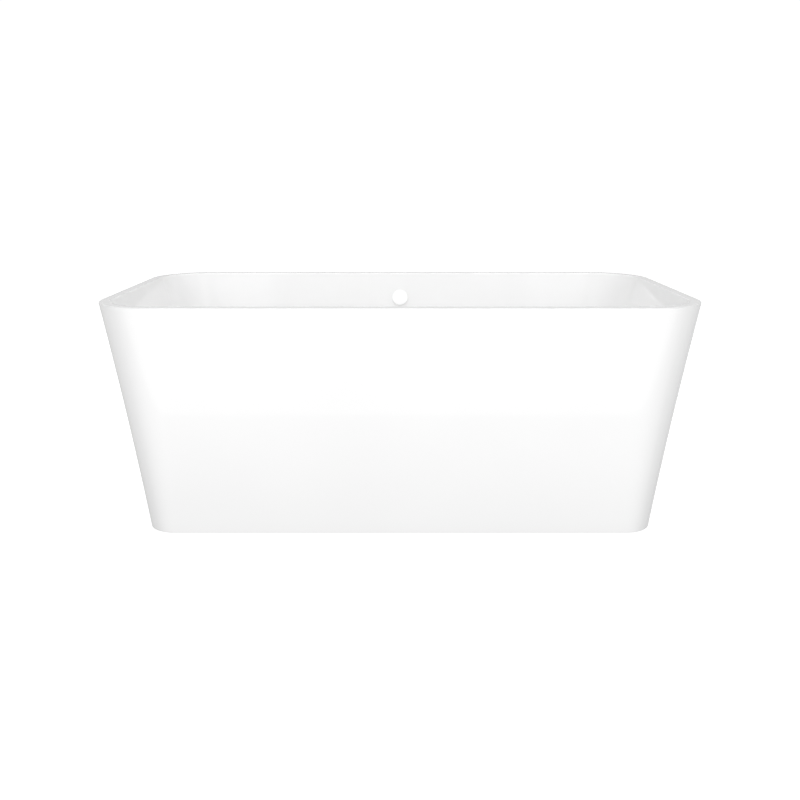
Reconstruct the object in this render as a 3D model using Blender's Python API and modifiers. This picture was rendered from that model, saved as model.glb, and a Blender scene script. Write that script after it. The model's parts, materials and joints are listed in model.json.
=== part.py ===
"""A freestanding bathtub: a double-skinned acrylic shell on a steel frame, with its waste, overflow and trap.

Metres, +Z up, +X along the length, the overflow on the back wall at +Y. The origin is on the floor, under
the middle.
"""

import math

import bmesh
import bpy
from mathutils import Matrix, Vector

# Outer shell: a rounded rectangle at the floor that grows to a larger one at the rim.
LENGTH, WIDTH, HEIGHT = 1.500, 0.800, 0.596
BASE_LENGTH, BASE_WIDTH = 1.318, 0.650
TOP_RADIUS, BASE_RADIUS = 0.160, 0.080
WALL_BOW = 0.0027  # how far the walls curve in, halfway up

# Acrylic sheets, and the gap between parts that touch.
BASIN_THICKNESS, SKIRT_THICKNESS = 0.006, 0.005
GAP = 0.0003
SKIRT_BOTTOM = 0.0008  # the skirt just clears the floor, and the feet carry the bath
BOTTOM_FLANGE, TOP_FLANGE = 0.030, 0.018

# Rim and basin.
RIM_WIDTH, RIM_EDGE, RIM_ROUND, LIP_DEPTH = 0.028, 0.004, 0.003, 0.012
END_SLOPE, SIDE_SLOPE = math.radians(20), math.radians(14)
FILLET = 0.075
FLOOR_EDGE, FLOOR_DRAIN = 0.174, 0.168  # the floor falls towards the waste
CORNER_TIGHTENING = 0.35  # how fast the basin's corner radius shrinks as its walls come in
DRAIN_RADIUS, RECESS_RADIUS, WASTE_HOLE = 0.048, 0.040, 0.0243
RECESS_DEPTH = 0.005

# Board and frame under the floor.
BOARD_LENGTH, BOARD_WIDTH, BOARD_RADIUS, BOARD_HOLE = 0.94, 0.36, 0.05, 0.060
BOARD_TOP = FLOOR_DRAIN - BASIN_THICKNESS - GAP
BOARD_THICKNESS = 0.0147
TUBE, TUBE_WALL = 0.025, 0.002
RAIL_LENGTH, RAIL_Y = 1.0, 0.16
END_BAR_X, MIDDLE_BAR_X = 0.44, -0.14
FRAME_TOP = BOARD_TOP - BOARD_THICKNESS - GAP
FRAME_BOTTOM = FRAME_TOP - TUBE
SCREW_X = 0.25
TIE_X, TIE_WIDTH, TIE_THICKNESS = 0.39, 0.030, 0.003

# Levelling feet: an M12 stud in a nut welded under the frame.
FOOT_X = 0.47
STUD_RADIUS, STUD_CLEARANCE = 0.0060, 0.0063
STUD_BOTTOM, STUD_TOP = 0.0085, 0.139
NUT_RADIUS, NUT_THICKNESS, LOCKNUT_THICKNESS = 0.011, 0.010, 0.006
PAD_RADIUS, PAD_HEIGHT = 0.025, 0.016

# Waste, on the Z axis.
RECESS_Z = FLOOR_DRAIN - RECESS_DEPTH
BRIM_RADIUS, BRIM_TOP = 0.035, RECESS_Z + 0.0045
TAIL_RADIUS, TAIL_BORE, TAIL_BOTTOM = 0.0230, 0.0205, 0.132
HUB_BORE, HUB_RADIUS, HUB_BOTTOM, HUB_TOP = 0.0078, 0.0105, 0.142, 0.150
CAP_RADIUS, STEM_RADIUS = 0.0315, 0.0035
OUTLET_RADIUS, OUTLET_BOTTOM = 0.0220, 0.0725
INLET_Z, INLET_LENGTH = 0.102, 0.062

# Trap, which hangs from the waste body and turns about the Z axis.
PIPE_RADIUS, PIPE_WALL = 0.0200, 0.0022
COLLAR_RADIUS, COLLAR_HEIGHT = 0.0218, 0.004
COLLAR_TOP = 0.0697
LOW_BEND, HIGH_BEND = 0.030, 0.026
LOW_BEND_Z, HIGH_BEND_Z = 0.058, 0.066
OUTLET_X = 2 * LOW_BEND + 2 * HIGH_BEND
TRAP_END_Z, PIPE_END_Z = 0.056, 0.003

# Overflow, on an axis square to the back wall.
OVERFLOW_Z = 0.520
COVER_RADIUS, COVER_STANDOFF, COVER_THICKNESS = 0.025, 0.0020, 0.0020
OVERFLOW_HOLE = 0.0205
INSERT_RADIUS, INSERT_TUBE, INSERT_BORE = 0.0225, 0.0180, 0.0155
BODY_FRONT = -BASIN_THICKNESS - 0.0026
BODY_DEPTH, BODY_WIDTH = 0.0140, 0.056
BODY_TOP, BODY_BOTTOM = 0.024, -0.034
SPIGOT_DEPTH, SPIGOT_RADIUS, SPIGOT_END = -0.0203, 0.0092, -0.062
HOSE_RADIUS, HOSE_WALL, HOSE_START = 0.0125, 0.0025, -0.044
CLIP_RADIUS, CLIP_WIDTH = 0.0136, 0.008

CORNER_STEPS = 8  # segments in each rounded corner of the shells
ROUND_STEPS = 24  # segments round the larger turned parts
SMALL_STEPS = 12  # segments round studs, screws and nuts

PARTS = bpy.data.collections.new("bathtub")
CUTTERS = bpy.data.collections.new("cutters")

# name: (colour, roughness, metallic)
MATERIALS = {
    "acrylic": ((0.93, 0.93, 0.93), 0.12, 0.0),
    "white_trim": ((0.95, 0.95, 0.95), 0.10, 0.0),
    "adhesive": ((0.80, 0.80, 0.76), 0.60, 0.0),
    "board": ((0.62, 0.47, 0.30), 0.75, 0.0),
    "zinc_steel": ((0.62, 0.63, 0.64), 0.40, 1.0),
    "black_plastic": ((0.06, 0.06, 0.06), 0.55, 0.0),
    "chrome": ((0.82, 0.83, 0.84), 0.08, 1.0),
    "rubber": ((0.05, 0.05, 0.05), 0.80, 0.0),
    "white_plastic": ((0.86, 0.86, 0.84), 0.45, 0.0),
    "grey_hose": ((0.70, 0.71, 0.72), 0.50, 0.0),
}


# --- Building blocks -------------------------------------------------------------------------


def clear_scene():
    for obj in list(bpy.data.objects):
        bpy.data.objects.remove(obj, do_unlink=True)
    for collection in (PARTS, CUTTERS):
        bpy.context.scene.collection.children.link(collection)


def make_materials():
    made = {}
    for name, (colour, roughness, metallic) in MATERIALS.items():
        material = bpy.data.materials.new(name)
        material.use_nodes = True
        shader = material.node_tree.nodes["Principled BSDF"]
        shader.inputs["Base Color"].default_value = (*colour, 1.0)
        shader.inputs["Roughness"].default_value = roughness
        shader.inputs["Metallic"].default_value = metallic
        material.diffuse_color = (*colour, 1.0)
        made[name] = material
    return made


def add_part(name, data, material, location=(0, 0, 0), parent=None):
    """One sub-part, as an object of the bathtub's collection."""
    obj = bpy.data.objects.new(name, data)
    PARTS.objects.link(obj)
    obj.location = location
    obj.parent = parent
    if not data.materials:
        data.materials.append(material)
    return obj


def add_cutter(name, data, location=(0, 0, 0), parent=None):
    """A helper shape for a Boolean, which is never rendered."""
    obj = bpy.data.objects.new(name, data)
    CUTTERS.objects.link(obj)
    obj.location = location
    obj.parent = parent
    obj.hide_render = True
    obj.display_type = "WIRE"
    return obj


def add_empty(name, location, rotation=(0, 0, 0)):
    obj = bpy.data.objects.new(name, None)
    PARTS.objects.link(obj)
    obj.location = location
    obj.rotation_euler = rotation
    return obj


def mesh_from(name, shape):
    mesh = bpy.data.meshes.new(name)
    shape.to_mesh(mesh)
    shape.free()
    return mesh


def box_mesh(name, size):
    shape = bmesh.new()
    bmesh.ops.create_cube(shape, size=1.0)
    bmesh.ops.scale(shape, vec=size, verts=shape.verts)
    return mesh_from(name, shape)


def cylinder_mesh(name, radius, depth, steps=ROUND_STEPS, along="Z"):
    turn = {"X": Matrix.Rotation(math.pi / 2, 4, "Y"), "Y": Matrix.Rotation(math.pi / 2, 4, "X")}
    shape = bmesh.new()
    bmesh.ops.create_cone(
        shape,
        cap_ends=True,
        segments=steps,
        radius1=radius,
        radius2=radius,
        depth=depth,
        matrix=turn.get(along, Matrix.Identity(4)),
    )
    return mesh_from(name, shape)


def boolean(obj, other, operation):
    modifier = obj.modifiers.new(f"{operation.lower()} {other.name}", "BOOLEAN")
    modifier.operation = operation
    modifier.solver = "EXACT"
    modifier.object = other


def turned_mesh(name, profile):
    """The half section that a Screw modifier turns.

    It is given as (radius, height) points that run down the outer side. A section that starts and ends
    on the axis is left open there, and any other is closed.
    """
    shape = bmesh.new()
    points = [shape.verts.new((radius, 0, height)) for radius, height in profile]
    for a, b in zip(points, points[1:]):
        shape.edges.new((a, b))
    if profile[0][0] > 0:
        shape.edges.new((points[-1], points[0]))
    return mesh_from(name, shape)


def turn(obj, steps=ROUND_STEPS):
    screw = obj.modifiers.new("turn", "SCREW")
    screw.axis = "Z"
    screw.angle = 2 * math.pi
    screw.steps = steps
    screw.render_steps = steps
    screw.use_merge_vertices = True
    screw.merge_threshold = 0.00001
    screw.use_smooth_shade = True
    return obj


def turned(name, profile, material, location=(0, 0, 0), parent=None, steps=ROUND_STEPS):
    return turn(add_part(name, turned_mesh(name, profile), material, location, parent), steps)


def ring_profile(inner, outer, bottom, top):
    """The section of a washer, sleeve or tube."""
    return [(inner, top), (outer, top), (outer, bottom), (inner, bottom)]


def circle(radius, steps=ROUND_STEPS):
    angles = [2 * math.pi * step / steps for step in range(steps)]
    return [(radius * math.cos(angle), radius * math.sin(angle)) for angle in angles]


def plate_curve(name, outlines, thickness):
    """A flat plate as a filled 2D curve. Outlines after the first are holes."""
    curve = bpy.data.curves.new(name, "CURVE")
    curve.dimensions = "2D"
    curve.fill_mode = "BOTH"
    curve.extrude = thickness / 2
    for outline in outlines:
        spline = curve.splines.new("POLY")
        spline.points.add(len(outline) - 1)
        for point, (x, y) in zip(spline.points, outline):
            point.co = (x, y, 0, 1)
        spline.use_cyclic_u = True
    return curve


def pipe(name, route, radius, wall, material, parent=None, sizes=None, resolution=4):
    """An open-ended tube along a route. sizes gives each point's share of the radius."""
    curve = bpy.data.curves.new(name, "CURVE")
    curve.dimensions = "3D"
    curve.bevel_depth = radius
    curve.bevel_resolution = resolution
    spline = curve.splines.new("POLY")
    spline.points.add(len(route) - 1)
    for index, (point, place) in enumerate(zip(spline.points, route)):
        point.co = (*place, 1)
        point.radius = sizes[index] if sizes else 1.0
    obj = add_part(name, curve, material, parent=parent)
    shell = obj.modifiers.new("wall", "SOLIDIFY")
    shell.thickness = wall
    shell.offset = -1
    shell.use_even_offset = True
    return obj


def smooth_route(points, spacing):
    """Points about spacing apart on a smooth curve through the given ones."""
    ends = [2 * points[0] - points[1], *points, 2 * points[-1] - points[-2]]
    route = []
    for before, a, b, after in zip(ends, ends[1:], ends[2:], ends[3:]):
        count = max(1, round((b - a).length / spacing))
        for step in range(count):
            t = step / count
            bend = 2 * before - 5 * a + 4 * b - after
            rate = 3 * a - before - 3 * b + after
            route.append(a + 0.5 * t * ((b - before) + t * (bend + t * rate)))
    return [*route, points[-1]]


def arc(centre_x, centre_z, radius, start, end, steps):
    """Points of an arc in the XZ plane, with its angles in degrees from +X towards +Z."""
    angles = [math.radians(start + (end - start) * step / steps) for step in range(steps + 1)]
    centre = Vector((centre_x, 0, centre_z))
    return [centre + radius * Vector((math.cos(angle), 0, math.sin(angle))) for angle in angles]


# --- The two shells --------------------------------------------------------------------------


def rounded_rectangle(half_length, half_width, radius, steps=CORNER_STEPS):
    """Points of a rounded rectangle, anticlockwise from +X."""
    points = []
    for quarter, (side_x, side_y) in enumerate(((1, 1), (-1, 1), (-1, -1), (1, -1))):
        for step in range(steps + 1):
            angle = math.pi / 2 * (quarter + step / steps)
            x = side_x * (half_length - radius) + radius * math.cos(angle)
            y = side_y * (half_width - radius) + radius * math.sin(angle)
            points.append((x, y))
    return points


def outer_ring(z, inset=0.0):
    """The outside of the bath at height z, drawn in by inset."""
    t = z / HEIGHT
    drawn_in = 4 * WALL_BOW * t * (1 - t) + inset
    half_length = (BASE_LENGTH + (LENGTH - BASE_LENGTH) * t) / 2 - drawn_in
    half_width = (BASE_WIDTH + (WIDTH - BASE_WIDTH) * t) / 2 - drawn_in
    radius = BASE_RADIUS + (TOP_RADIUS - BASE_RADIUS) * t - inset
    return [(x, y, z) for x, y in rounded_rectangle(half_length, half_width, radius)]


def wall_inset(z, slope):
    """How far inside the bath's outline a basin wall lies at height z.

    From the top down it is a round rim edge, a straight sloping wall and a round fillet.
    """
    lowest = FLOOR_EDGE + FILLET * (1 - math.sin(slope))
    height = max(z, lowest)
    drop = HEIGHT - height
    tangent_drop = RIM_ROUND * (1 - math.sin(slope))
    if drop < tangent_drop:
        return RIM_WIDTH - RIM_ROUND + math.sqrt(RIM_ROUND**2 - (RIM_ROUND - drop) ** 2)
    on_wall = RIM_WIDTH - RIM_ROUND * (1 - math.cos(slope)) + (drop - tangent_drop) * math.tan(slope)
    if z >= lowest:
        return on_wall
    return on_wall + FILLET * math.cos(slope) - math.sqrt(FILLET**2 - (FILLET - (z - FLOOR_EDGE)) ** 2)


def basin_ring(z):
    side_inset = wall_inset(z, SIDE_SLOPE)
    radius = TOP_RADIUS - min(side_inset, RIM_WIDTH) - CORNER_TIGHTENING * max(0.0, side_inset - RIM_WIDTH)
    outline = rounded_rectangle(LENGTH / 2 - wall_inset(z, END_SLOPE), WIDTH / 2 - side_inset, radius)
    return [(x, y, z) for x, y in outline]


def drain_ring(radius, z):
    """A nearly round ring, with as many points as the basin's other rings."""
    return [(x, y, z) for x, y in rounded_rectangle(radius, radius, 0.94 * radius)]


def between(ring_a, ring_b, share):
    return [tuple(Vector(a).lerp(Vector(b), share)) for a, b in zip(ring_a, ring_b)]


def shell(name, rings, thickness, material):
    """A sheet through the rings, whose shown side is on the left of the way from ring to ring."""
    shape = bmesh.new()
    rows = [[shape.verts.new(point) for point in ring] for ring in rings]
    for row, next_row in zip(rows, rows[1:]):
        for i in range(len(row)):
            j = (i + 1) % len(row)
            shape.faces.new((row[i], row[j], next_row[j], next_row[i]))
    obj = add_part(name, mesh_from(name, shape), material)
    obj.data.shade_smooth()
    sheet = obj.modifiers.new("sheet", "SOLIDIFY")
    sheet.thickness = thickness
    sheet.offset = -1
    sheet.use_even_offset = True
    return obj


def build_basin(material):
    rim = [outer_ring(HEIGHT - LIP_DEPTH), outer_ring(HEIGHT - RIM_EDGE), outer_ring(HEIGHT, RIM_EDGE)]
    round_drops = [RIM_ROUND * (1 - math.cos(math.radians(angle))) for angle in (0, 30, 55)]
    walls = [basin_ring(HEIGHT - drop) for drop in (*round_drops, RIM_ROUND, 0.20)]
    fillet_rises = [FILLET * (1 - math.sin(math.radians(angle))) for angle in range(15, 91, 15)]
    fillet = [basin_ring(FLOOR_EDGE + rise) for rise in fillet_rises]
    drain = drain_ring(DRAIN_RADIUS, FLOOR_DRAIN)
    floor = [between(fillet[-1], drain, share) for share in (0.4, 0.75)]
    recess = [drain, drain_ring(RECESS_RADIUS, RECESS_Z), drain_ring(WASTE_HOLE, RECESS_Z)]
    return shell("basin", [*rim, *walls, *fillet, *floor, *recess], BASIN_THICKNESS, material)


def build_skirt(material):
    top = HEIGHT - LIP_DEPTH - GAP
    levels = [SKIRT_BOTTOM + (top - SKIRT_BOTTOM) * step / 6 for step in range(7)]
    rings = [outer_ring(SKIRT_BOTTOM, BOTTOM_FLANGE), *map(outer_ring, levels), outer_ring(top, TOP_FLANGE)]
    return shell("skirt", rings, SKIRT_THICKNESS, material)


def build_rim_bond_bead(material):
    bottom, top = HEIGHT - LIP_DEPTH, HEIGHT - BASIN_THICKNESS - GAP
    outlines = [[(x, y) for x, y, _ in outer_ring(bottom, inset)] for inset in (0.0080, 0.0165)]
    curve = plate_curve("rim_bond_bead", outlines, top - bottom)
    return add_part("rim_bond_bead", curve, material, (0, 0, (top + bottom) / 2))


# --- Board, frame and feet -------------------------------------------------------------------


def build_board(material):
    outline = rounded_rectangle(BOARD_LENGTH / 2, BOARD_WIDTH / 2, BOARD_RADIUS, 4)
    holes = [[(x + hx, y + hy) for hx, hy in circle(0.0025, 12)] for x, y in screw_places()]
    curve = plate_curve("base_board", [outline, circle(BOARD_HOLE), *holes], BOARD_THICKNESS)
    return add_part("base_board", curve, material, (0, 0, BOARD_TOP - BOARD_THICKNESS / 2))


def screw_places():
    return [(x, y) for y in (-RAIL_Y, RAIL_Y) for x in (-SCREW_X, SCREW_X)]


def foot_places():
    corners = [(x, y) for y in (-RAIL_Y, RAIL_Y) for x in (-FOOT_X, FOOT_X)]
    return [*corners, (MIDDLE_BAR_X, 0.0)]


def square_tube(name, length, along, location, holes, material):
    """A square steel tube with upright holes, given as (x, y, radius) in the bath's frame."""
    size = (length, TUBE, TUBE) if along == "X" else (TUBE, length, TUBE)
    inside = TUBE - 2 * TUBE_WALL
    hollow = (2 * length, inside, inside) if along == "X" else (inside, 2 * length, inside)
    obj = add_part(name, box_mesh(name, size), material, location)
    boolean(obj, add_cutter(f"{name} hollow", box_mesh("hollow", hollow), location), "DIFFERENCE")
    for index, (x, y, radius) in enumerate(holes):
        drill = cylinder_mesh("drill", radius, 2 * TUBE, SMALL_STEPS)
        boolean(obj, add_cutter(f"{name} drill {index}", drill, (x, y, location[2])), "DIFFERENCE")
    return obj


def build_frame(material):
    middle = (FRAME_TOP + FRAME_BOTTOM) / 2
    stud_hole, screw_hole = STUD_RADIUS + 0.001, 0.0028
    for name, y in (("rail_front", -RAIL_Y), ("rail_back", RAIL_Y)):
        holes = [(x, y, stud_hole) for x in (-FOOT_X, FOOT_X)]
        holes += [(x, y, screw_hole) for x in (-SCREW_X, SCREW_X)]
        square_tube(name, RAIL_LENGTH, "X", (0, y, middle), holes, material)
    bar_length = 2 * RAIL_Y - TUBE - 2 * GAP
    bars = (
        ("cross_bar_left", -END_BAR_X, []),
        ("cross_bar_middle", MIDDLE_BAR_X, [(MIDDLE_BAR_X, 0.0, stud_hole)]),
        ("cross_bar_right", END_BAR_X, []),
    )
    for name, x, holes in bars:
        square_tube(name, bar_length, "Y", (x, 0, middle), holes, material)


def build_board_screws(material):
    """Pan-head screws up through the rails into the board."""
    head, shank, head_height, reach = 0.0048, 0.0022, 0.0028, 0.034
    profile = [
        (0, reach),
        (shank, reach - 0.004),
        (shank, 0),
        (head, 0),
        (0.8 * head, -head_height),
        (0, -head_height),
    ]
    for number, (x, y) in enumerate(screw_places(), 1):
        turned(f"board_screw_{number}", profile, material, (x, y, FRAME_BOTTOM - GAP), steps=12)


def build_skirt_ties(material):
    """Bent straps from under the rails down to the skirt's bottom flange."""
    top = FRAME_BOTTOM - GAP - TIE_THICKNESS / 2
    bottom = SKIRT_BOTTOM + SKIRT_THICKNESS + GAP + TIE_THICKNESS / 2
    line = [(RAIL_Y - 0.010, top), (RAIL_Y + 0.018, top), (0.286, bottom), (0.311, bottom)]
    places = [(side, x) for side in (-1, 1) for x in (-TIE_X, TIE_X)]
    for number, (side, x) in enumerate(places, 1):
        shape = bmesh.new()
        left = [shape.verts.new((-TIE_WIDTH / 2, side * y, z)) for y, z in line]
        right = [shape.verts.new((TIE_WIDTH / 2, side * y, z)) for y, z in line]
        for i in range(len(line) - 1):
            shape.faces.new((left[i], right[i], right[i + 1], left[i + 1]))
        name = f"skirt_tie_{number}"
        strap = add_part(name, mesh_from(name, shape), material, (x, 0, 0))
        sheet = strap.modifiers.new("sheet", "SOLIDIFY")
        sheet.thickness = TIE_THICKNESS
        sheet.offset = 0
        sheet.use_even_offset = True


def build_feet(materials):
    steel, plastic = materials["zinc_steel"], materials["black_plastic"]
    hexagon = circle(NUT_RADIUS, 6)
    bore = circle(STUD_CLEARANCE, SMALL_STEPS)
    nut = plate_curve("nut", [hexagon, bore], NUT_THICKNESS)
    locknut = plate_curve("locknut", [hexagon, bore], LOCKNUT_THICKNESS)
    nut_z = FRAME_BOTTOM - GAP - NUT_THICKNESS / 2
    locknut_z = nut_z - (NUT_THICKNESS + LOCKNUT_THICKNESS) / 2 - GAP
    stud = turned_mesh(
        "stud",
        [
            (0, STUD_TOP),
            (STUD_RADIUS - 0.001, STUD_TOP),
            (STUD_RADIUS, STUD_TOP - 0.001),
            (STUD_RADIUS, STUD_BOTTOM),
            (0, STUD_BOTTOM),
        ],
    )
    socket = STUD_BOTTOM - GAP
    pad = turned_mesh(
        "pad",
        [
            (0, socket),
            (STUD_CLEARANCE, socket),
            (STUD_CLEARANCE, PAD_HEIGHT),
            (0.0115, PAD_HEIGHT),
            (0.0125, 0.010),
            (0.0220, 0.0062),
            (PAD_RADIUS, 0.004),
            (PAD_RADIUS, 0),
            (0, 0),
        ],
    )
    for number, (x, y) in enumerate(foot_places(), 1):
        axis = add_empty(f"foot {number} axis", (x, y, 0))
        add_part(f"foot_{number}_nut", nut, steel, (0, 0, nut_z), axis)
        add_part(f"foot_{number}_locknut", locknut, steel, (0, 0, locknut_z), axis)
        turn(add_part(f"foot_{number}_stud", stud, steel, parent=axis), SMALL_STEPS)
        turn(add_part(f"foot_{number}_pad", pad, plastic, parent=axis), 20)


# --- Waste and plug --------------------------------------------------------------------------


def build_waste(materials):
    brim_bottom = BRIM_TOP - 0.0025
    flange = turned(
        "waste_flange",
        [
            (TAIL_BORE, BRIM_TOP - 0.006),
            (0.0270, BRIM_TOP - 0.0008),
            (BRIM_RADIUS - 0.002, BRIM_TOP),
            (BRIM_RADIUS, BRIM_TOP - 0.001),
            (BRIM_RADIUS, brim_bottom),
            (TAIL_RADIUS, brim_bottom),
            (TAIL_RADIUS, TAIL_BOTTOM),
            (TAIL_BORE, TAIL_BOTTOM),
        ],
        materials["chrome"],
    )
    hub_profile = ring_profile(HUB_BORE, HUB_RADIUS, HUB_BOTTOM, HUB_TOP)
    boolean(flange, turn(add_cutter("hub", turned_mesh("hub", hub_profile)), 24), "UNION")
    spoke_start, spoke_end = 0.0095, TAIL_BORE + 0.001
    spoke = box_mesh("spoke", (spoke_end - spoke_start, 0.003, 0.005))
    for quarter in range(4):
        angle = math.pi / 2 * quarter + math.pi / 4
        reach = (spoke_start + spoke_end) / 2
        place = (reach * math.cos(angle), reach * math.sin(angle), (HUB_BOTTOM + HUB_TOP) / 2)
        arm = add_cutter(f"spoke {quarter}", spoke, place)
        arm.rotation_euler = (0, 0, angle)
        boolean(flange, arm, "UNION")

    washer = ring_profile(WASTE_HOLE, 0.033, RECESS_Z + GAP, brim_bottom - GAP)
    turned("waste_top_seal", washer, materials["rubber"])
    under = RECESS_Z - BASIN_THICKNESS - GAP
    turned("waste_bottom_seal", ring_profile(WASTE_HOLE, 0.033, under - 0.002, under), materials["rubber"])
    build_waste_body(under - 0.002 - GAP, materials["white_plastic"])
    build_plug(materials)


def build_waste_body(top, material):
    """The socket under the basin: the waste's tail screws into it, the overflow comes in at its side."""
    socket, wall, bore = TAIL_RADIUS + GAP + 0.0001, 0.0270, 0.0188
    step = TAIL_BOTTOM - 0.002
    body = turned(
        "waste_body",
        [
            (socket, top),
            (0.033, top),
            (0.033, top - 0.004),
            (wall, top - 0.005),
            (wall, step - 0.004),
            (OUTLET_RADIUS, step - 0.009),
            (OUTLET_RADIUS, OUTLET_BOTTOM),
            (bore, OUTLET_BOTTOM),
            (bore, step),
            (socket, step),
        ],
        material,
    )
    start, shoulder = 0.0200, 0.042
    arm = cylinder_mesh("arm", 0.0125, shoulder - start, 24, "Y")
    spigot = cylinder_mesh("spigot", SPIGOT_RADIUS, INLET_LENGTH - start, 24, "Y")
    bore_in = cylinder_mesh("inlet bore", SPIGOT_RADIUS - 0.002, 0.060, 24, "Y")
    boolean(body, add_cutter("inlet arm", arm, (0, (start + shoulder) / 2, INLET_Z)), "UNION")
    boolean(body, add_cutter("inlet spigot", spigot, (0, (start + INLET_LENGTH) / 2, INLET_Z)), "UNION")
    boolean(body, add_cutter("inlet bore", bore_in, (0, 0.010 + 0.030, INLET_Z)), "DIFFERENCE")


def build_plug(materials):
    cap_bottom = BRIM_TOP + 0.0025
    axis = add_empty("plug axis", (0, 0, cap_bottom))
    turned(
        "plug_cap",
        [
            (0, 0.0075),
            (0.012, 0.0072),
            (0.022, 0.0060),
            (0.029, 0.0038),
            (CAP_RADIUS, 0.0020),
            (CAP_RADIUS, 0.0008),
            (CAP_RADIUS - 0.001, 0),
            (0, 0),
        ],
        materials["white_trim"],
        parent=axis,
    )
    seal_top = -GAP
    washer = ring_profile(0.022, 0.030, seal_top - 0.0018, seal_top)
    turned("plug_seal", washer, materials["rubber"], parent=axis)
    stem = [
        (0, seal_top),
        (0.006, seal_top),
        (0.006, seal_top - 0.004),
        (STEM_RADIUS, seal_top - 0.005),
        (STEM_RADIUS, -0.040),
        (0, -0.040),
    ]
    turned("plug_stem", stem, materials["chrome"], parent=axis, steps=SMALL_STEPS)
    cartridge = [
        (STEM_RADIUS + GAP, HUB_TOP + 0.003),
        (0.0095, HUB_TOP + 0.003),
        (0.0095, HUB_TOP + GAP),
        (HUB_BORE - GAP, HUB_TOP + GAP),
        (HUB_BORE - GAP, 0.134),
        (STEM_RADIUS + GAP, 0.134),
    ]
    turned("plug_cartridge", cartridge, materials["chrome"], steps=SMALL_STEPS)


# --- Overflow --------------------------------------------------------------------------------


def overflow_frame():
    """An empty on the basin's back wall. Its Z is square to the wall, into the bath, and its Y runs up."""
    y = WIDTH / 2 - wall_inset(OVERFLOW_Z, SIDE_SLOPE)
    return add_empty("overflow axis", (0, y, OVERFLOW_Z), (math.pi / 2 - SIDE_SLOPE, 0, 0))


def on_wall(frame, y, z):
    """A point of the overflow's own frame, as a point of the bath's."""
    return frame.matrix_basis @ Vector((0, y, z))


def build_overflow(basin, materials):
    frame = overflow_frame()
    hole = cylinder_mesh("overflow hole", OVERFLOW_HOLE, 0.040)
    boolean(basin, add_cutter("overflow hole", hole, parent=frame), "DIFFERENCE")

    insert_top = 0.0012
    turned(
        "overflow_insert",
        [
            (INSERT_BORE, insert_top),
            (INSERT_RADIUS - 0.0005, insert_top),
            (INSERT_RADIUS, insert_top - 0.0005),
            (INSERT_RADIUS, GAP),
            (INSERT_TUBE, GAP),
            (INSERT_TUBE, -0.0165),
            (INSERT_BORE, -0.0165),
        ],
        materials["white_trim"],
        parent=frame,
    )
    seal_front = -BASIN_THICKNESS - GAP
    washer = ring_profile(OVERFLOW_HOLE, 0.027, BODY_FRONT + GAP, seal_front)
    turned("overflow_seal", washer, materials["rubber"], parent=frame)
    build_overflow_cover(frame, materials["white_trim"])
    build_overflow_body(frame, materials["white_plastic"])
    build_hose(frame, materials)


def build_overflow_cover(frame, material):
    """A disc that stands off the wall on four legs, which clip into the insert."""
    back, face = COVER_STANDOFF, COVER_STANDOFF + COVER_THICKNESS
    leg_outer, leg_inner, leg_end = INSERT_BORE - 0.0005, INSERT_BORE - 0.0022, -0.0050
    cover = turned(
        "overflow_cover",
        [
            (0, face),
            (0.014, face - 0.0002),
            (COVER_RADIUS - 0.002, face - 0.0004),
            (COVER_RADIUS - 0.0006, face - 0.0008),
            (COVER_RADIUS, face - 0.0014),
            (COVER_RADIUS, back + 0.0004),
            (COVER_RADIUS - 0.0004, back),
            (leg_outer, back),
            (leg_outer, leg_end),
            (leg_inner, leg_end),
            (leg_inner, back),
            (0, back),
        ],
        material,
        parent=frame,
    )
    slot_depth = back - leg_end
    slot_place = (0, 0, leg_end + slot_depth / 2 - GAP)
    for index, size in enumerate(((0.040, 0.014, slot_depth), (0.014, 0.040, slot_depth))):
        slot = add_cutter(f"cover slot {index}", box_mesh("slot", size), slot_place, frame)
        boolean(cover, slot, "DIFFERENCE")


def build_overflow_body(frame, material):
    """A shallow chamber behind the wall, with a spigot down for the hose."""
    wall = 0.002
    height, middle = BODY_TOP - BODY_BOTTOM, (BODY_TOP + BODY_BOTTOM) / 2
    place = (0, middle, BODY_FRONT - BODY_DEPTH / 2)
    block = box_mesh("overflow_body", (BODY_WIDTH, height, BODY_DEPTH))
    body = add_part("overflow_body", block, material, place, frame)
    socket_top, socket_end = -0.030, -0.042
    drop_outer = cylinder_mesh("socket", 0.0115, socket_top - socket_end, 24, "Y")
    drop_spigot = cylinder_mesh("spigot", SPIGOT_RADIUS, socket_top - SPIGOT_END, 24, "Y")
    socket_place = (0, (socket_top + socket_end) / 2, SPIGOT_DEPTH)
    spigot_place = (0, (socket_top + SPIGOT_END) / 2, SPIGOT_DEPTH)
    boolean(body, add_cutter("drop socket", drop_outer, socket_place, frame), "UNION")
    boolean(body, add_cutter("drop spigot", drop_spigot, spigot_place, frame), "UNION")
    inside = (BODY_WIDTH - 2 * wall, height - 2 * wall, BODY_DEPTH - 2 * wall)
    boolean(body, add_cutter("chamber", box_mesh("chamber", inside), place, frame), "DIFFERENCE")
    mouth = cylinder_mesh("mouth", INSERT_TUBE + GAP, 0.010)
    boolean(body, add_cutter("mouth", mouth, (0, 0, BODY_FRONT), frame), "DIFFERENCE")
    bore = cylinder_mesh("drop bore", 0.0056, 0.050, 20, "Y")
    boolean(body, add_cutter("drop bore", bore, (0, -0.047, SPIGOT_DEPTH + 0.0015), frame), "DIFFERENCE")


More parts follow.
